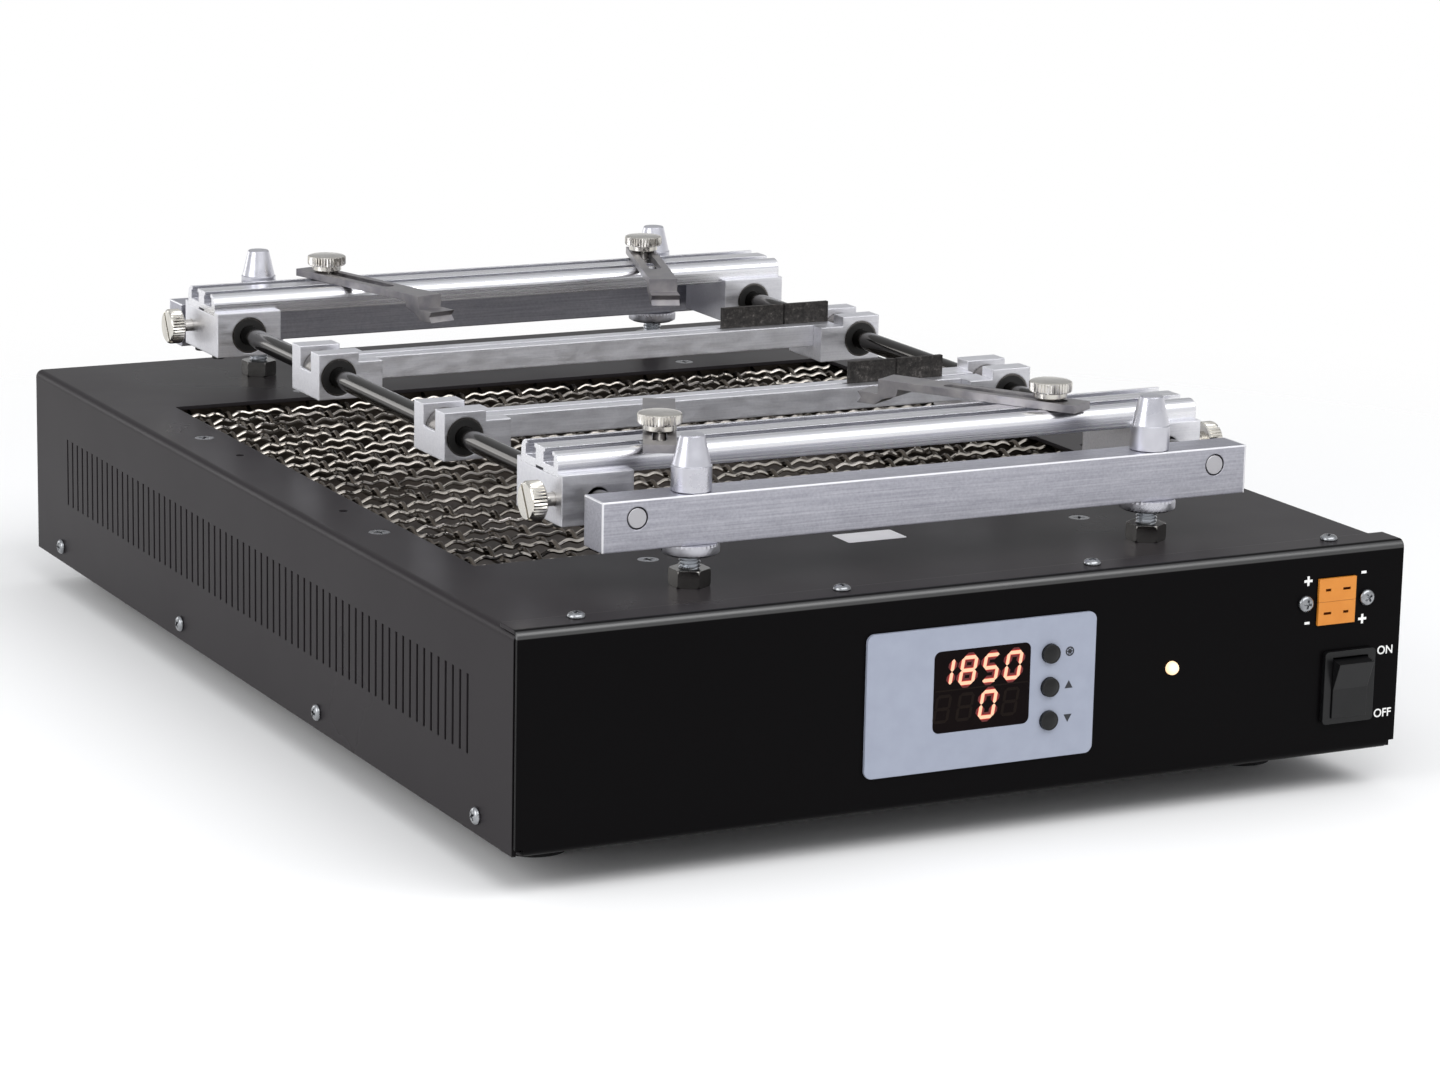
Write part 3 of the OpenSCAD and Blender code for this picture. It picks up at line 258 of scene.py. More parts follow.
def drawn_wire(name, dark, middle, light, smooth, rough):
    # Crimped steel wire over the heaters, with uneven tone; each layer of wires gets its own copy,
    # lighter for the long wires as painted light and darker for the cross wires as painted shade
    material, tree, shader, place = finish(name, middle, Metallic=1.0)
    cloud = add(tree, "TexNoise", {"Vector": place}, {"Scale": per_mm(16), "Detail": 5.0})
    blend_colours(tree, shader, cloud.outputs["Fac"], ((0.3, dark), (0.5, middle), (0.7, light)))
    vary_roughness(tree, shader, cloud.outputs["Fac"], smooth, rough)
    return material


def fired_ceramic():
    # Glazed ceramic heater plates: dark brown-grey, slightly uneven
    material, tree, shader, place = finish("fired_ceramic", "#3a332e", Roughness=0.5)
    cloud = add(tree, "TexNoise", {"Vector": place}, {"Scale": per_mm(14), "Detail": 4.0})
    blend_colours(tree, shader, cloud.outputs["Fac"], ((0.3, "#2c2622"), (0.7, "#453d37")))
    relief(tree, shader, cloud.outputs["Fac"], 0.3, 0.2)
    return material


def moulded(name, code, light, roughness, grain_mm, depth_mm=0.03, edge_mm=0.3, **sockets):
    # Moulded plastic, film or rubber: one colour with a fine grain in the surface
    material, tree, shader, place = finish(name, code, Roughness=roughness, **sockets)
    cloud = add(tree, "TexNoise", {"Vector": place}, {"Scale": per_mm(7), "Detail": 3.0})
    blend_colours(tree, shader, cloud.outputs["Fac"], ((0.3, code), (0.7, light)))
    grain = add(tree, "TexNoise", {"Vector": place}, {"Scale": per_mm(grain_mm), "Detail": 2.0})
    relief(tree, shader, grain.outputs["Fac"], depth_mm, 0.3, edge_mm)
    return material


def burnt_plate():
    # Rough black steel plates: scaly and matt, with worn grey spots
    black = "#211f1e"
    material, tree, shader, place = finish("burnt_steel_plate", black, Roughness=0.8, Metallic=0.3)
    scale = add(tree, "TexNoise", {"Vector": place},
                {"Scale": per_mm(2.2), "Detail": 6.0, "Roughness": 0.75})
    blend_colours(tree, shader, scale.outputs["Fac"],
                  ((0.4, black), (0.58, "#3a3735"), (0.72, "#7a7572")))
    relief(tree, shader, scale.outputs["Fac"], 0.5, 0.7)
    return material


def glowing(name, code, strength, base="#100404"):
    # Lit diffuser: gives off its own colour
    return finish(name, base, Roughness=0.4, Emission_Color=srgb(code),
                  Emission_Strength=strength)[0]


PAINT = powder_coat()
MILLED = milled_aluminium("milled_bar", "#93939d", "#aeaeb7", "#c8c8cf", "end_bars")
# Painted light: the blocks and support bars take a lighter copy of the end bars' milled aluminium,
# for the stronger light on them
LIGHTER_MILLED = milled_aluminium("milled_lighter_copy", "#d6d6dc", "#e5e5ea", "#f1f1f4")
EXTRUDED = extruded_aluminium()
NICKEL = plated("nickel_plate", "#dad7d0", "#cbc7bf", 0.14, 0.26, 5)
ZINC = plated("zinc_plate", "#d3d6da", "#c2c5ca", 0.22, 0.36, 6)
CHROME = hard_chrome()
SCREW = plated("bright_zinc", "#a4a6a9", "#85878a", 0.2, 0.3, 3)
NUT = plated("dark_steel", "#93918e", "#827f7c", 0.1, 0.18, 9)
TURNED = plated("turned_aluminium", "#cfcfd6", "#c4c4cc", 0.24, 0.36, 8)
BLASTED = plated("blasted_steel", "#a09d9e", "#87858a", 0.36, 0.48, 6)
BEARING = plated("ground_steel", "#6d6a68", "#565351", 0.2, 0.34, 4)
REFLECTOR = plated("heat_tinted_sheet", "#5d564f", "#443e39", 0.4, 0.55, 12)
# Painted light and shade: the long wires take a lighter copy of the steel wire, the cross wires a
# darker, duller one
WARP = drawn_wire("bright_wire", "#a39d95", "#b5afa7", "#c9c3bc", 0.1, 0.16)
WEFT = drawn_wire("shaded_wire", "#45403a", "#5b544d", "#777068", 0.28, 0.42)
CERAMIC = fired_ceramic()
FASCIA = moulded("fascia_film", "#9298a8", "#979dad", 0.42, 0.5, 0.01, 0.25)
ACRYLIC = moulded("smoked_acrylic", "#0a0405", "#0d0606", 0.12, 3.0, 0.005, 0.3,
                  Specular_IOR_Level=0.05)
ORANGE = moulded("orange_nylon", "#cb7c25", "#d1842c", 0.45, 0.4, 0.02, 0.2)
ABS = moulded("black_abs", "#0d0d0e", "#111112", 0.3, 0.35, 0.02, 0.4, Specular_IOR_Level=0.3)
RUBBER = moulded("black_rubber", "#0a090a", "#0e0d0e", 0.75, 0.8, 0.06, 0.5)
SEAL = moulded("seal_rubber", "#0c0b0b", "#121110", 0.55, 0.5)
RELAY = moulded("relay_case", "#c6c1b3", "#d0cbbd", 0.5, 0.5)
LAMINATE = moulded("board_laminate", "#23492e", "#2c5838", 0.45, 0.6)
BURNT = burnt_plate()
PRINT = moulded("white_print", "#e4e4e2", "#efefed", 0.5, 0.3, 0.005, 0.0)
INK = moulded("black_print", "#1b1d24", "#22242c", 0.5, 0.3, 0.005, 0.0)
PAPER = moulded("label_paper", "#f6f5f9", "#faf9fc", 0.55, 0.6, 0.01, 0.0)
LIT = glowing("lit_segment", "#ffcba6", 1.15)
BLEED = glowing("segment_bleed", "#d0200f", 0.9)
HALO = glowing("segment_halo", "#650405", 0.9)
UNLIT = moulded("unlit_segment", "#16100e", "#1a1310", 0.4, 0.4, 0.005, 0.0,
                Specular_IOR_Level=0.05)
LAMP = glowing("lamp_diffuser", "#ffc48a", 0.85, "#ffe9cc")
# Painted shade: dark brown for the contact blades, so that the socket slots read as deep and dark
SLOT_SHADE_BLADE = plated("slot_shade_brass", "#4a1e08", "#2f1204", 0.4, 0.5, 2)

NODE_FINISH = {
    "base_tray": PAINT, "front_panel": PAINT, "top_cover": PAINT, "rubber_feet": RUBBER,
    "reflector_pan": REFLECTOR, "heater_rails": REFLECTOR, "ceramic_heaters": CERAMIC,
    "control_board": LAMINATE, "power_relay": RELAY, "fascia_plate": FASCIA,
    "display_window": ACRYLIC, "status_lamp": LAMP, "sensor_sockets": ORANGE,
    "switch_housing": ABS, "power_inlet": ABS, "menu_button": ABS, "up_button": ABS,
    "down_button": ABS, "switch_rocker": ABS, "end_bars": MILLED, "guide_rods": CHROME,
}
for end in ENDS:
    NODE_FINISH[end + "_rests"] = BURNT
    NODE_FINISH[end + "_clamp_profile"] = EXTRUDED
    NODE_FINISH[end + "_support_bar"] = LIGHTER_MILLED
    for kind in KINDS:
        NODE_FINISH[f"{end}_{kind}_blocks"] = LIGHTER_MILLED
        NODE_FINISH[f"{end}_{kind}_bearings"] = BEARING
for corner in CORNERS:
    NODE_FINISH[corner + "_slot_nut"] = ZINC
    NODE_FINISH[corner + "_finger"] = BLASTED
for name, material in NODE_FINISH.items():
    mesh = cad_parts[name].data
    mesh.materials.clear()
    mesh.materials.append(material)


# Modelling

MERGE = 0.002       # points that are closer than this are one


def vec(x, y, z):
    """Point given in millimetres."""
    return Vector((x, y, z)) * MM


def at(x, y, z):
    """Matrix that moves to a point given in millimetres."""
    return Matrix.Translation(vec(x, y, z))


def rotate(angle, axis):
    """Matrix that turns about an axis through the origin."""
    return Matrix.Rotation(angle, 4, axis)


def polyline(bm, outline):
    """Points of an outline of (radius, height) and the edges between them."""
    points = [bm.verts.new(vec(r, 0, z)) for r, z in outline]
    return points + [bm.edges.new(pair) for pair in zip(points, points[1:])]


def turn(bm, outline, steps):
    """Spin an outline of (radius, height) round Z."""
    bmesh.ops.spin(bm, geom=polyline(bm, outline), cent=(0, 0, 0), axis=(0, 0, 1),
                   dvec=(0, 0, 0), angle=2 * math.pi, steps=steps, use_merge=True)
    bmesh.ops.remove_doubles(bm, verts=bm.verts, dist=MERGE * MM)


def knurl(bm, steps, low, high, radius, depth, row=0.0):
    """Sink every other meridian between two heights, where the surface is at the radius.

    The grooves are straight, or diamonds where the height of a row is given.
    """
    for v in bm.verts:
        r = math.hypot(v.co.x, v.co.y)
        if low * MM <= v.co.z <= high * MM and r > (radius - 0.3) * MM:
            place = round(math.atan2(v.co.y, v.co.x) / (2 * math.pi) * steps)
            if row:
                place += round((v.co.z / MM - low) / row)
            if place % 2:
                shrink = 1 - depth * MM / r
                v.co.x *= shrink
                v.co.y *= shrink


def thread(bm, radius, pitch, low, high):
    """Helical thread of a rod between two heights, trimmed flat at both ends."""
    steps = 20
    turns = math.ceil((high - low) / pitch) + 2
    start, root = low - pitch, radius - 0.55 * pitch
    ridge = polyline(bm, ((root, start), (radius, start + pitch / 2), (root, start + pitch)))
    bmesh.ops.spin(bm, geom=ridge, cent=(0, 0, 0), axis=(0, 0, 1),
                   dvec=(0, 0, pitch * MM / steps), angle=2 * math.pi * turns,
                   steps=steps * turns)
    bmesh.ops.remove_doubles(bm, verts=bm.verts, dist=MERGE * MM)
    for height, normal in ((low, (0, 0, -1)), (high, (0, 0, 1))):
        cut = bmesh.ops.bisect_plane(bm, geom=bm.verts[:] + bm.edges[:] + bm.faces[:], dist=1e-7,
                                     plane_co=(0, 0, height * MM), plane_no=normal,
                                     clear_outer=True)
        rim = [g for g in cut["geom_cut"] if isinstance(g, bmesh.types.BMEdge)]
        bmesh.ops.contextual_create(bm, geom=rim)


def bevel(bm, geom, offset, segments=1, affect="EDGES"):
    """Bevel edges or corners by an offset in millimetres."""
    return bmesh.ops.bevel(bm, geom=geom, offset=offset * MM, affect=affect, segments=segments,
                           profile=0.5, material=-1)


def edges_along(verts, axis, length):
    """Edges at these vertices that run along an axis for more than half a length."""
    edges = {e for v in verts for e in v.link_edges}
    return [e for e in edges
            if abs((e.verts[0].co - e.verts[1].co)[axis]) > 0.5 * length * MM]


def slab(bm, x, y, z, w, d, h, turned=None):
    """Box by its middle and its size in millimetres, turned by a matrix if one is given."""
    size = Matrix.Diagonal((w * MM, d * MM, h * MM, 1))
    place = at(x, y, z) @ (turned or Matrix.Identity(4)) @ size
    return bmesh.ops.create_cube(bm, size=1, matrix=place)["verts"]


def paste(bm, source, matrix):
    """Copy a mesh into a bmesh through a matrix."""
    first = len(bm.verts)
    bm.from_mesh(source)
    bm.verts.ensure_lookup_table()
    bmesh.ops.transform(bm, matrix=matrix, verts=bm.verts[first:])


def shape(bm):
    """Mesh of a finished bmesh, facing outwards."""
    bmesh.ops.recalc_face_normals(bm, faces=bm.faces)
    mesh = bpy.data.meshes.new("shape")
    bm.to_mesh(mesh)
    bm.free()
    return mesh


def lathe(outline, steps, knurled=None):
    """Mesh of an outline spun round Z, with the knurl whose values are given."""
    bm = bmesh.new()
    turn(bm, outline, steps)
    if knurled:
        knurl(bm, steps, *knurled)
    return shape(bm)


def gather(copies):
    """Mesh of copies of meshes, each with the matrix that lays it in its place."""
    bm = bmesh.new()
    for source, matrix in copies:
        paste(bm, source, matrix)
    return shape(bm)


def carve(mesh, cutter):
    """Mesh with a cutter's shape taken out of it."""
    body = bpy.data.objects.new("carve_body", mesh)
    tool = bpy.data.objects.new("carve_tool", cutter)
    for made in (body, tool):
        bpy.context.scene.collection.objects.link(made)
    modifier = body.modifiers.new("cut", "BOOLEAN")
    modifier.operation = "DIFFERENCE"
    modifier.object = tool
    modifier.solver = "EXACT"
    depsgraph = bpy.context.evaluated_depsgraph_get()
    result = bpy.data.meshes.new_from_object(body.evaluated_get(depsgraph))
    for made in (body, tool):
        bpy.data.objects.remove(made)
    return result


def piece(name, mesh, material, body, slot, *nodes, sharp=32):
    """Object of a mesh, riding on a body and standing for the named nodes."""
    mesh.name = name
    for face in mesh.polygons:
        face.use_smooth = True
    mesh.set_sharp_from_angle(angle=math.radians(sharp))
    mesh.materials.append(material)
    made = bpy.data.objects.new(name, mesh)
    bpy.context.scene.collection.objects.link(made)
    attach(made, body)
    if nodes:
        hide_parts(*nodes)


# Woven wire mesh: each wire rides over one cross wire with two crimps beside it and dips under
# the next

WIRE_PITCH = 13.2
WIRE_RADIUS = 0.84
WIRE_COUNT = 23
WIRE_HALF = 156.5
MESH_Z = DECK - SHEET - 0.1 - 1.95      # the wires' tops stay a hair below the deck's sheet
WAVE_STEPS = 16
CRIMP_LENGTH = 7.3
CRIMP_DEPTH = 0.42


def wire_height(x):
    """Height of a wire beside the crossing that it rides over."""
    away = abs((x + WIRE_PITCH) % (2 * WIRE_PITCH) - WIRE_PITCH)
    if away < CRIMP_LENGTH:
        return 1 - CRIMP_DEPTH + CRIMP_DEPTH * math.cos(2 * math.pi * away / CRIMP_LENGTH)
    return math.cos(math.pi * (away - CRIMP_LENGTH) / (WIRE_PITCH - CRIMP_LENGTH))


def wavy_wire(shift, side):
    """One crimped wire along X; side is 1 where it rides over and -1 where it hangs under."""
    bm = bmesh.new()
    ring = bmesh.ops.create_circle(bm, cap_ends=False, segments=8, radius=WIRE_RADIUS * MM,
                                   matrix=rotate(QUARTER, "Y"))["verts"]
    step = WIRE_PITCH / WAVE_STEPS
    count = int(2 * WIRE_HALF / step)
    x = -count * step / 2
    bmesh.ops.translate(bm, vec=vec(x, 0, side * wire_height(x + shift)), verts=ring)
    edges = bm.edges[:]
    bmesh.ops.contextual_create(bm, geom=edges)
    for _ in range(count):
        made = bmesh.ops.extrude_edge_only(bm, edges=edges)["geom"]
        ring = [g for g in made if isinstance(g, bmesh.types.BMVert)]
        edges = [g for g in made if isinstance(g, bmesh.types.BMEdge)
                 and all(v in ring for v in g.verts)]
        rise = side * (wire_height(x + step + shift) - wire_height(x + shift))
        bmesh.ops.translate(bm, vec=vec(step, 0, rise), verts=ring)
        x += step
    bmesh.ops.contextual_create(bm, geom=edges)
    return shape(bm)


def woven_layer(name, material, side, turned, across, *nodes):
    """Parallel wires, laid side by side along the direction across them."""
    wires = [wavy_wire(0, side), wavy_wire(WIRE_PITCH, side)]
    middle = (WIRE_COUNT - 1) // 2
    copies = []
    for number in range(-middle, WIRE_COUNT - middle):
        x, y = (number * WIRE_PITCH * part for part in across)
        copies.append((wires[number % 2], at(x, y, MESH_Z) @ turned))
    piece(name, gather(copies), material, "housing", "mesh_wire", *nodes)


woven_layer("mesh_warp", WARP, 1, Matrix.Identity(4), (0, 1), "heater_mesh")
woven_layer("mesh_weft", WEFT, -1, rotate(QUARTER, "Z"), (1, 0))


# Posts: threaded studs with hex nuts, knurled levelling nuts and tapered clamp nuts

POST_X, POST_Y, POST_R, POST_PITCH = 94.3, 207.0, 4.0, 1.25
HEX_FLATS, HEX_HEIGHT = 13.0, 6.3
BAR_Z, BAR_TOP = DECK + 16, DECK + 34   # underside and top of the end bars
KNURL_ROW = 0.9
NUT_STEPS = 72


def post_spot(corner):
    """Matrix that moves a part onto the post of a corner."""
    return at(POST_X if "right" in corner else -POST_X,
              POST_Y if "rear" in corner else -POST_Y, 0)


def hex_nut(bm, low):
    """Hex nut that stands at a height, with its corners turned down."""
    corner = HEX_FLATS / math.sqrt(3) * MM
    made = bmesh.ops.create_cone(bm, cap_ends=True, segments=6, radius1=corner, radius2=corner,
                                 depth=HEX_HEIGHT * MM, matrix=at(0, 0, low + HEX_HEIGHT / 2))
    bevel(bm, made["verts"], 1.2, segments=2, affect="VERTICES")


def post_hardware():
    """The four studs, and their hex nuts above and below the deck."""
    lo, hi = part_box("post_studs")
    bm = bmesh.new()
    thread(bm, POST_R, POST_PITCH, lo.z / MM, hi.z / MM)
    stud = shape(bm)
    bm = bmesh.new()
    hex_nut(bm, DECK)
    hex_nut(bm, DECK - SHEET - HEX_HEIGHT)
    nuts = shape(bm)
    spots = [post_spot(corner) for corner in CORNERS]
    piece("post_studs_threaded", gather((stud, spot) for spot in spots), ZINC,
          "housing", "stud_steel", "post_studs", sharp=20)
    piece("post_hex_nuts", gather((nuts, spot) for spot in spots), NUT,
          "housing", "stud_steel", sharp=20)


def post_nuts(corner):
    """Levelling nut and tapered nut of one post; the rear tapered nuts have a knurled skirt."""
    bore = POST_R + 0.05
    top = BAR_Z - 0.1
    level = lathe(((bore, top - 4.4), (8.8, top - 4.4), (10.4, top - 3.6), (10.5, top - 2.7),
                   (10.5, top - 1.8), (10.5, top - 0.9), (10.2, top), (bore, top),
                   (bore, top - 4.4)),
                  NUT_STEPS, (top - 3.7, top - 0.8, 10.4, 0.5, KNURL_ROW))
    base = BAR_TOP + 0.1
    skirt = [base + 0.3 + KNURL_ROW * i for i in range(10)]
    outline = [(bore, base), (7.0, base)] + [(7.3, z) for z in skirt]
    outline += [(7.3, base + 9.0), (6.9, base + 9.3), (4.5, base + 19.6), (4.1, base + 20),
                (0, base + 20)]
    rough = (skirt[1], skirt[7], 7.3, 0.4, KNURL_ROW) if "rear" in corner else None
    cone = lathe(outline, NUT_STEPS, rough)
    spot = post_spot(corner)
    piece(corner + "_nuts_turned", gather([(level, spot), (cone, spot)]), TURNED,
          corner + "_nuts", "aluminium", corner + "_nuts", sharp=9)


post_hardware()
for corner in CORNERS:
    post_nuts(corner)


# Thumbscrews: the clamps' and the carriages' locks

KNOB_HEIGHT, KNOB_STEPS = 4.2, 80
LOCK_HEAD, LOCK_STEPS = 6.0, 72


def clamp_screw(corner):
    """Upright screw with a wide, low knob."""
    lo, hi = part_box(corner + "_screw")
    low, knob = lo.z / MM, hi.z / MM - KNOB_HEIGHT
    screw = lathe(((0, low), (2.5, low), (2.5, knob - 3.1), (4.7, knob - 3.1), (6.2, knob - 2.1),
                   (6.2, knob - 0.4), (6.6, knob), (7.7, knob), (8.1, knob + 0.5),
                   (8.1, knob + 3.3), (7.9, knob + 3.7), (7.3, knob + 4.0), (6.4, knob + 4.1),
                   (5.6, knob + KNOB_HEIGHT), (0, knob + KNOB_HEIGHT)),
                  KNOB_STEPS, (knob + 0.3, knob + 3.4, 8.1, 0.5))
    spot = Matrix.Translation(((lo.x + hi.x) / 2, (lo.y + hi.y) / 2, 0))
    piece(corner + "_screw_knurled", gather([(screw, spot)]), NICKEL,
          corner + "_screw", "nickel", corner + "_screw", sharp=30)


def lock_screw(corner):
    """Screw that lies along X, with a slot across its head."""
    lo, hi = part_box(corner + "_lock")
    head = (hi.x - lo.x) / MM - LOCK_HEAD
    top = head + LOCK_HEAD
    screw = lathe(((0, 0), (2.5, 0), (2.5, head - 1.2), (3.6, head - 1.2), (3.6, head),
                   (6.6, head), (7.3, head + 0.6), (7.3, head + 4.9), (6.9, head + 5.6),
                   (6.4, top), (0, top)),
                  LOCK_STEPS, (head + 0.4, head + 5, 7.3, 0.45))
    bm = bmesh.new()
    slab(bm, 0, 0, top, 16, 1.4, 2.4)
    slotted = carve(screw, shape(bm))
    right = "right" in corner
    start = (lo.x if right else hi.x, (lo.y + hi.y) / 2, (lo.z + hi.z) / 2)
    lay = rotate(QUARTER if right else -QUARTER, "Y") @ rotate(0.5, "Z")
    piece(corner + "_lock_knurled", gather([(slotted, Matrix.Translation(start) @ lay)]), NICKEL,
          corner + "_lock", "nickel", corner + "_lock", sharp=30)


for corner in CORNERS:
    clamp_screw(corner)
    lock_screw(corner)


# Sheet screws with cross recesses

SOCKET_X, SOCKET_Z = 150.6, HOUSING_FLOOR + 59.2    # middle of the two thermocouple sockets
SOCKET_SCREW = 13.5                                 # from that middle to each screw
SIDE_SCREWS_Y = (218, 72.7, -72.7, -218)
LAP_SCREWS_X = [i * 102.3 for i in (-1.5, -0.5, 0.5, 1.5)]
LAP_INSET = 10.5                                    # from a folded edge to its screws
DECK_SCREW_APART = 90.5                             # from the middle, along each side
DECK_SCREW_X, DECK_SCREW_Y = 163, 166.5
SCREW_STEPS = 28


def cross_recess(mesh, height, arm, width, depth):
    """Screw head with a cross sunk into it at a height."""
    for w, d in ((arm, width), (width, arm)):
        bm = bmesh.new()
        slab(bm, 0, 0, height, w, d, 2 * depth)
        mesh = carve(mesh, shape(bm))
    return mesh


def sheet_screws():
    """Pan heads round the housing and beside the sockets, and flush heads in the deck."""
    pan = lathe(((0, -3), (1.7, -3), (1.7, 0), (3.1, 0), (3.2, 0.3), (3.15, 0.8), (2.8, 1.4),
                 (2.2, 1.8), (1.2, 2.0), (0, 2.0)), SCREW_STEPS)
    pan = cross_recess(pan, 2.0, 3.4, 0.9, 1.1)
    spots = []
    for side in (-1, 1):
        for y in SIDE_SCREWS_Y:
            spots.append(at(side * SIDE, y, HOUSING_FLOOR + 6.8) @ rotate(side * QUARTER, "Y"))
    for x in LAP_SCREWS_X:
        spots.append(at(x, FACE + LAP_INSET, FOLD))
        spots.append(at(x, FACE + LAP_INSET, HOUSING_FLOOR) @ rotate(math.pi, "X"))
        spots.append(at(x, REAR, DECK - LAP_INSET) @ rotate(-QUARTER, "X"))
    for side in (-1, 1):
        spots.append(at(SOCKET_X + side * SOCKET_SCREW, FACE, SOCKET_Z) @ rotate(QUARTER, "X"))
    heads = gather((pan, spot @ rotate(0.7 * i, "Z")) for i, spot in enumerate(spots))
    piece("cover_screw_heads", heads, SCREW, "housing", "zinc_screw", "cover_screws", sharp=30)

    flush = lathe(((0, -4), (1.7, -4), (1.7, -2.3), (3.95, -0.05), (0, -0.05)), SCREW_STEPS)
    flush = cross_recess(flush, 0, 4.4, 1.0, 1.3)
    sunk = []
    for a in (-DECK_SCREW_APART, DECK_SCREW_APART):
        for s in (-1, 1):
            for x, y in ((s * DECK_SCREW_X, a), (a, s * DECK_SCREW_Y)):
                sunk.append((flush, at(x, y, DECK) @ rotate(0.3 * a + s, "Z")))
    piece("deck_screw_heads", gather(sunk), SCREW, "housing", "dark_screw", "flush_screws",
          sharp=30)


sheet_screws()


# Bearing seals, which are black rings in the ends of the bearing sleeves, and the cap screws
# under the clamp blocks, which hold the profiles

BEARING_R = 7.5


def bearing_seals(body, node):
    lo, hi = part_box(node)
    ring = lathe(((4.15, -0.2), (6.9, -0.2), (6.9, 0.06), (4.15, 0.06), (4.15, -0.2)), 40)
    middle = (lo.z + hi.z) / 2
    copies = []
    for x in (lo.x + BEARING_R * MM, hi.x - BEARING_R * MM):
        for y, angle in ((lo.y, QUARTER), (hi.y, -QUARTER)):
            copies.append((ring, Matrix.Translation((x, y, middle)) @ rotate(angle, "X")))
    piece(node + "_seals", gather(copies), SEAL, body, "bearing_steel")


def block_screws(end):
    lo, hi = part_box(end + "_clamp_blocks")
    head = lathe(((0, 0.6), (2.4, 0.6), (2.4, 0), (2.6, -0.3), (2.6, -1.5), (2.3, -1.8),
                  (1.4, -1.8), (1.4, -1.2), (0, -1.2)), 24)
    inset = vec(3.6, 9, 0)
    copies = [(head, Matrix.Translation((x, y, lo.z)))
              for x in (lo.x + inset.x, hi.x - inset.x)
              for y in (lo.y + inset.y, hi.y - inset.y)]
    piece(end + "_block_screws", gather(copies), SEAL, end + "_clamp", "dark_screw")


for end in ENDS:
    for kind in KINDS:
        bearing_seals(f"{end}_{kind}", f"{end}_{kind}_bearings")
for end in ENDS:
    block_screws(end)


# Front panel marks, display digits and the bare label on the deck

PRINT_T = 0.08
SIGN_LONG, SIGN_SHORT, SIGN_STROKE = 3.6, 2.2, 0.95     # plus, minus and the width of both
ICON_X = 35.9
LETTER_HEIGHT = 3.2
DIGIT_PITCH = 9.25
DIGIT_HALF_W, DIGIT_HALF_H, DIGIT_SLANT, DIGIT_GAP = 2.65, 4.6, 0.16, 0.2
DIGIT_ROWS = ((HOUSING_FLOOR + 48.9, -1.3, "1850"), (HOUSING_FLOOR + 35.6, -2.1, "  0 "))
LIT_SEGMENTS = {"0": "abcdef", "1": "bc", "5": "afgcd", "8": "abcdefg"}
DARK_SEGMENTS = {" ": "abcdefg"}
# Name, material, segments by sign, lift off the window, width of the bars and their depth
DISPLAY_LAYERS = (("display_digits", LIT, LIT_SEGMENTS, 0.14, 1.25, 0.08),
                  ("display_bleed", BLEED, LIT_SEGMENTS, 0.09, 1.9, 0.06),
                  ("display_halo", HALO, LIT_SEGMENTS, 0.05, 3.4, 0.05),
                  ("display_unlit", UNLIT, DARK_SEGMENTS, 0.02, 1.15, 0.05))


def bar_segment(bm, x, z, length, width, upright, depth):
    """Pointed, leaning bar of a digit, beside the digit's middle."""
    verts = slab(bm, 0, 0, 0, length, depth, width)
    made = bevel(bm, edges_along(verts, 1, depth), 0.45 * width)
    verts = list({v for v in verts if v.is_valid} | {v for f in made["faces"] for v in f.verts})
    if upright:
        bmesh.ops.transform(bm, matrix=rotate(QUARTER, "Y"), verts=verts)
    lean = Matrix.Identity(4)
    lean[0][2] = DIGIT_SLANT
    bmesh.ops.transform(bm, matrix=lean @ at(x, 0, z), verts=verts)
    return verts


def digit(bm, segments, x, y, z, width, depth):
    """Seven-segment digit about a point of the display."""
    w, h = DIGIT_HALF_W, DIGIT_HALF_H
    places = {"a": (0, h, False), "g": (0, 0, False), "d": (0, -h, False),
              "f": (-w, h / 2, True), "b": (w, h / 2, True),
              "e": (-w, -h / 2, True), "c": (w, -h / 2, True)}
    for segment in segments:
        px, pz, upright = places[segment]
        length = (h if upright else 2 * w) - DIGIT_GAP
        verts = bar_segment(bm, px, pz, length, width, upright, depth)
        bmesh.ops.translate(bm, vec=vec(x, y, z), verts=verts)


def display():
    """Lit digits with the glow round them, and the dark segments of the empty places."""
    for name, material, signs, lift, width, depth in DISPLAY_LAYERS:
        bm = bmesh.new()
        y = FASCIA_FACE - lift
        for z, shift, text in DIGIT_ROWS:
            for i, sign in enumerate(text):
                x = (i - 1.5) * DIGIT_PITCH + shift
                digit(bm, signs.get(sign, ""), x, y, z, width, depth)
        if material is LIT:     # decimal point
            slab(bm, 4.3, y, HOUSING_FLOOR + 44.2, width, depth, width)
        if material is UNLIT:   # joint between the two rows
            slab(bm, 0, y, HOUSING_FLOOR + 42.2, 38, depth, 0.5)
        piece(name, shape(bm), material, "housing", "display")


def triangle(bm, z, angle):
    """Arrowhead beside a button, turned by an angle from pointing up."""
    size = 1.9 * MM
    made = bmesh.ops.create_cone(bm, cap_ends=True, segments=3, radius1=size, radius2=size,
                                 depth=PRINT_T * MM)
    place = at(ICON_X, FASCIA_FACE - PRINT_T / 2, z) @ rotate(QUARTER, "X") @ rotate(angle, "Z")
    bmesh.ops.transform(bm, matrix=place, verts=made["verts"])


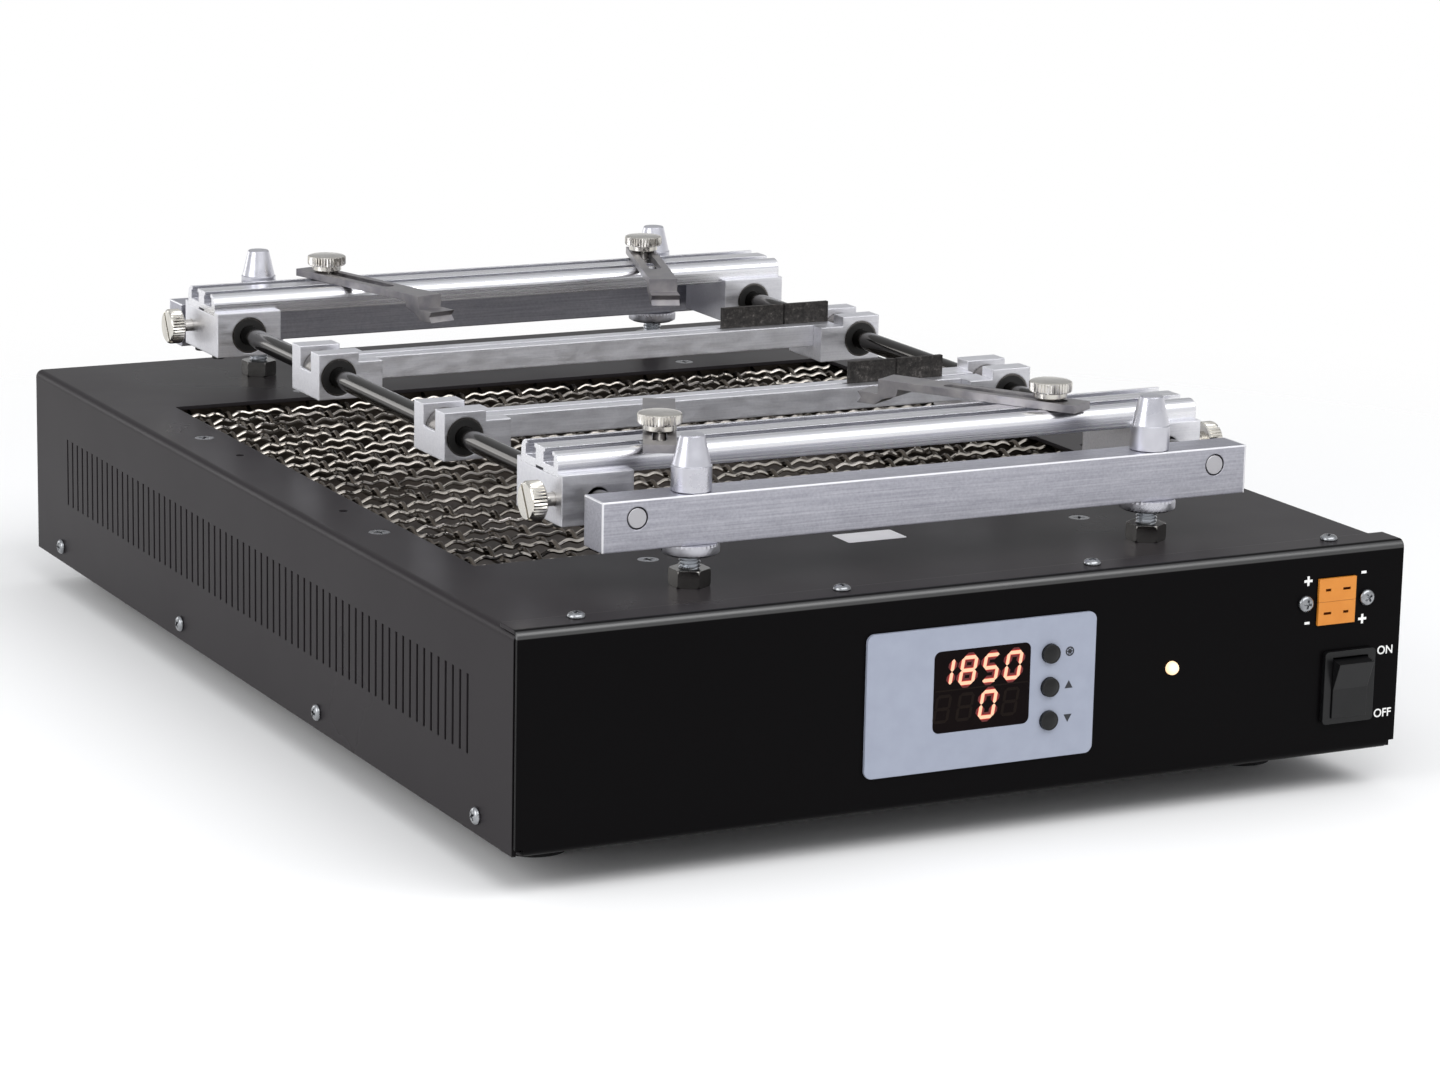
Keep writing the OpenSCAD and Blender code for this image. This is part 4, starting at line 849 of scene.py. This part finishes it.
def fascia_icons():
    """Round sign and two arrowheads beside the buttons."""
    bm = bmesh.new()
    for rim, wall in ((1.75, 0.5), (0.85, 0.4)):
        inner = rim - wall
        turn(bm, ((inner, 0), (rim, 0), (rim, PRINT_T), (inner, PRINT_T), (inner, 0)), 32)
    for i in range(3):
        slab(bm, 0, 0, PRINT_T / 2, 2.9, 0.3, PRINT_T * 0.9, rotate(i * math.pi / 3, "Z"))
    place = at(ICON_X, FASCIA_FACE, HOUSING_FLOOR + 51.6) @ rotate(QUARTER, "X")
    bmesh.ops.transform(bm, matrix=place, verts=bm.verts)
    triangle(bm, HOUSING_FLOOR + 39.0, 0)
    triangle(bm, HOUSING_FLOOR + 27.4, math.pi)
    piece("fascia_icons", shape(bm), INK, "housing", "fascia")


def lettering(bm, words, x, z):
    """Plain letters on the front panel, centred on a point."""
    curve = bpy.data.curves.new("letters", "FONT")
    curve.body = words
    curve.align_x, curve.align_y = "CENTER", "CENTER"
    curve.size = LETTER_HEIGHT * 1.4 * MM
    curve.extrude = PRINT_T / 2 * MM
    curve.offset = 0.06 * MM
    made = bpy.data.objects.new("letters", curve)
    bpy.context.scene.collection.objects.link(made)
    depsgraph = bpy.context.evaluated_depsgraph_get()
    mesh = bpy.data.meshes.new_from_object(made.evaluated_get(depsgraph))
    bpy.data.objects.remove(made)
    paste(bm, mesh, at(x, FACE - PRINT_T / 2, z) @ rotate(QUARTER, "X"))


def panel_prints():
    """Plus and minus signs round the sockets, and the words beside the switch."""
    bm = bmesh.new()
    for x, z, plus in ((138, 67.6, True), (162.5, 68.8, False), (138.3, 51.7, False),
                       (162.8, 51.1, True)):
        place = (x, FACE - PRINT_T / 2, HOUSING_FLOOR + z)
        slab(bm, *place, SIGN_LONG if plus else SIGN_SHORT, PRINT_T, SIGN_STROKE)
        if plus:
            slab(bm, *place, SIGN_STROKE, PRINT_T * 0.9, SIGN_LONG)
    lettering(bm, "ON", 173.9, HOUSING_FLOOR + 38)
    lettering(bm, "OFF", 174.2, HOUSING_FLOOR + 13.8)
    piece("panel_prints", shape(bm), PRINT, "housing", "fascia")


def socket_blades():
    """Contact blades behind the slots of the two thermocouple sockets, one wider than the other,
    dark brown as painted shade in the slots.
    """
    bm = bmesh.new()
    for s in (-1, 1):
        for t in (-1, 1):
            slab(bm, SOCKET_X + t * 4.075, FACE - 0.4, SOCKET_Z + s * 4.4,
                 3.3 if s * t > 0 else 2.3, 0.6, 0.95)
    bevel(bm, bm.edges[:], 0.08)
    piece("socket_blades", shape(bm), SLOT_SHADE_BLADE, "housing", "fascia")


def deck_label():
    """Bare paper label in front of the mesh, with round corners."""
    thickness = 0.12
    bm = bmesh.new()
    verts = slab(bm, 1.2, -164.7, DECK + thickness / 2, 24.5, 13.5, thickness)
    bevel(bm, edges_along(verts, 2, thickness), 1.0, segments=4)
    piece("deck_label", shape(bm), PAPER, "housing", "fascia")


display()
fascia_icons()
panel_prints()
socket_blades()
deck_label()


# Stage: pale floor, soft light and the camera, in metres

# Name, place, aim, width and height, and watts
SOFTBOXES = (("front_softbox", (0.2, -1.3, 1.5), (0, 0, 0.1), (2.4, 1.0), 20),
             ("left_softbox", (-1.8, -0.3, 0.9), (0, 0, 0.08), (1.2, 1.2), 12),
             ("rear_strip", (-1.05, 1.9, 0.55), (0, 0, 0.1), (0.5, 0.8), 4))
KEY_SIDE = (-0.25, -0.75, 0.61)     # where the room is brightest
PHOTO_WIDTH = 1440
FOCAL_PIXELS = 4461.58
SENSOR_WIDTH = 36
CAMERA_ANGLES = (-27.2847, 13.0943, 1.1862)     # azimuth, elevation and roll in degrees
CAMERA_TARGET = vec(19.28, -9.5672, 41.4421 + HOUSING_FLOOR)
CAMERA_DISTANCE = 1.794695


def pale_floor():
    bm = bmesh.new()
    bmesh.ops.create_grid(bm, x_segments=1, y_segments=1, size=6)
    floor = bpy.data.objects.new("floor", shape(bm))
    bpy.context.scene.collection.objects.link(floor)
    # Pale paper sweep: catches the soft shadow and melts into the white behind it
    material, tree, shader, place = finish("pale_floor", "#f8f8f8", Roughness=0.9,
                                           Specular_IOR_Level=0.1)
    cloud = add(tree, "TexNoise", {"Vector": place}, {"Scale": 2.0})
    blend_colours(tree, shader, cloud.outputs["Fac"], ((0.3, "#f7f7f7"), (0.7, "#fafafa")))
    reach = add(tree, "VectorMath", {0: place}, operation="LENGTH")
    fade = add(tree, "MapRange", {"Value": reach.outputs["Value"]},
               {"From Min": 0.38, "From Max": 0.85}, interpolation_type="SMOOTHSTEP")
    clear = add(tree, "BsdfTransparent")
    melt = add(tree, "MixShader", {0: fade.outputs["Result"], 1: shader.outputs[0],
                                   2: clear.outputs[0]})
    tree.links.new(melt.outputs[0], tree.nodes["Material Output"].inputs["Surface"])
    floor.data.materials.append(material)


def studio():
    """White background for the camera, which metal mirrors near the horizon; a soft room."""
    world = bpy.data.worlds.new("studio")
    world.use_nodes = True
    tree = world.node_tree
    tree.nodes.clear()
    path = add(tree, "LightPath")
    way = add(tree, "TexCoord").outputs["Generated"]
    facing = add(tree, "VectorMath", {0: way}, {1: KEY_SIDE}, operation="DOT_PRODUCT")
    level = add(tree, "MapRange", {"Value": facing.outputs["Value"]},
                {"From Min": -0.6, "From Max": 0.8, "To Min": 0.48, "To Max": 0.86},
                interpolation_type="SMOOTHSTEP")
    parts = add(tree, "SeparateXYZ", {0: way})
    low = add(tree, "MapRange", {"Value": parts.outputs["Z"]},
              {"From Min": 0.06, "From Max": 0.16, "To Min": 1.0, "To Max": 0.0},
              interpolation_type="SMOOTHSTEP")
    mirror = add(tree, "Math", {0: path.outputs["Is Glossy Ray"],
                                1: path.outputs["Is Transmission Ray"]}, operation="MAXIMUM")
    mirrored = add(tree, "Math", {0: mirror.outputs[0], 1: low.outputs["Result"]},
                   operation="MULTIPLY")
    white = add(tree, "Math", {0: path.outputs["Is Camera Ray"], 1: mirrored.outputs[0]},
                operation="MAXIMUM")
    bright = add(tree, "Background", sockets={"Color": (1, 1, 1, 1), "Strength": 1.0})
    soft = add(tree, "Background", {"Strength": level.outputs["Result"]},
               {"Color": (0.97, 0.98, 1, 1)})
    mixed = add(tree, "MixShader", {0: white.outputs[0], 1: soft.outputs[0],
                                    2: bright.outputs[0]})
    add(tree, "OutputWorld", {"Surface": mixed.outputs[0]})
    bpy.context.scene.world = world
    bpy.context.scene.view_settings.view_transform = "Standard"


def softboxes():
    for name, spot, aim, size, watts in SOFTBOXES:
        light = bpy.data.lights.new(name, "AREA")
        light.shape = "RECTANGLE"
        light.size, light.size_y = size
        light.energy = watts
        lamp = bpy.data.objects.new(name, light)
        lamp.location = spot
        lamp.rotation_euler = (Vector(aim) - Vector(spot)).to_track_quat("-Z", "Y").to_euler()
        bpy.context.scene.collection.objects.link(lamp)


def camera():
    """The photograph's view, as fitted to the housing's corners."""
    azimuth, elevation, roll = (math.radians(a) for a in CAMERA_ANGLES)
    back = Vector((math.sin(azimuth) * math.cos(elevation),
                   -math.cos(azimuth) * math.cos(elevation), math.sin(elevation)))
    side = Vector((math.cos(azimuth), math.sin(azimuth), 0))
    up = back.cross(side)
    right = side * math.cos(roll) + up * math.sin(roll)
    top = up * math.cos(roll) - side * math.sin(roll)
    data = bpy.data.cameras.new("camera")
    data.sensor_fit = "HORIZONTAL"
    data.sensor_width = SENSOR_WIDTH
    data.lens = FOCAL_PIXELS / PHOTO_WIDTH * SENSOR_WIDTH
    data.clip_end = 50
    eye = bpy.data.objects.new("camera", data)
    eye.matrix_world = (Matrix.Translation(CAMERA_TARGET + back * CAMERA_DISTANCE)
                        @ Matrix((right, top, back)).transposed().to_4x4())
    bpy.context.scene.collection.objects.link(eye)
    bpy.context.scene.camera = eye


pale_floor()
studio()
softboxes()
camera()
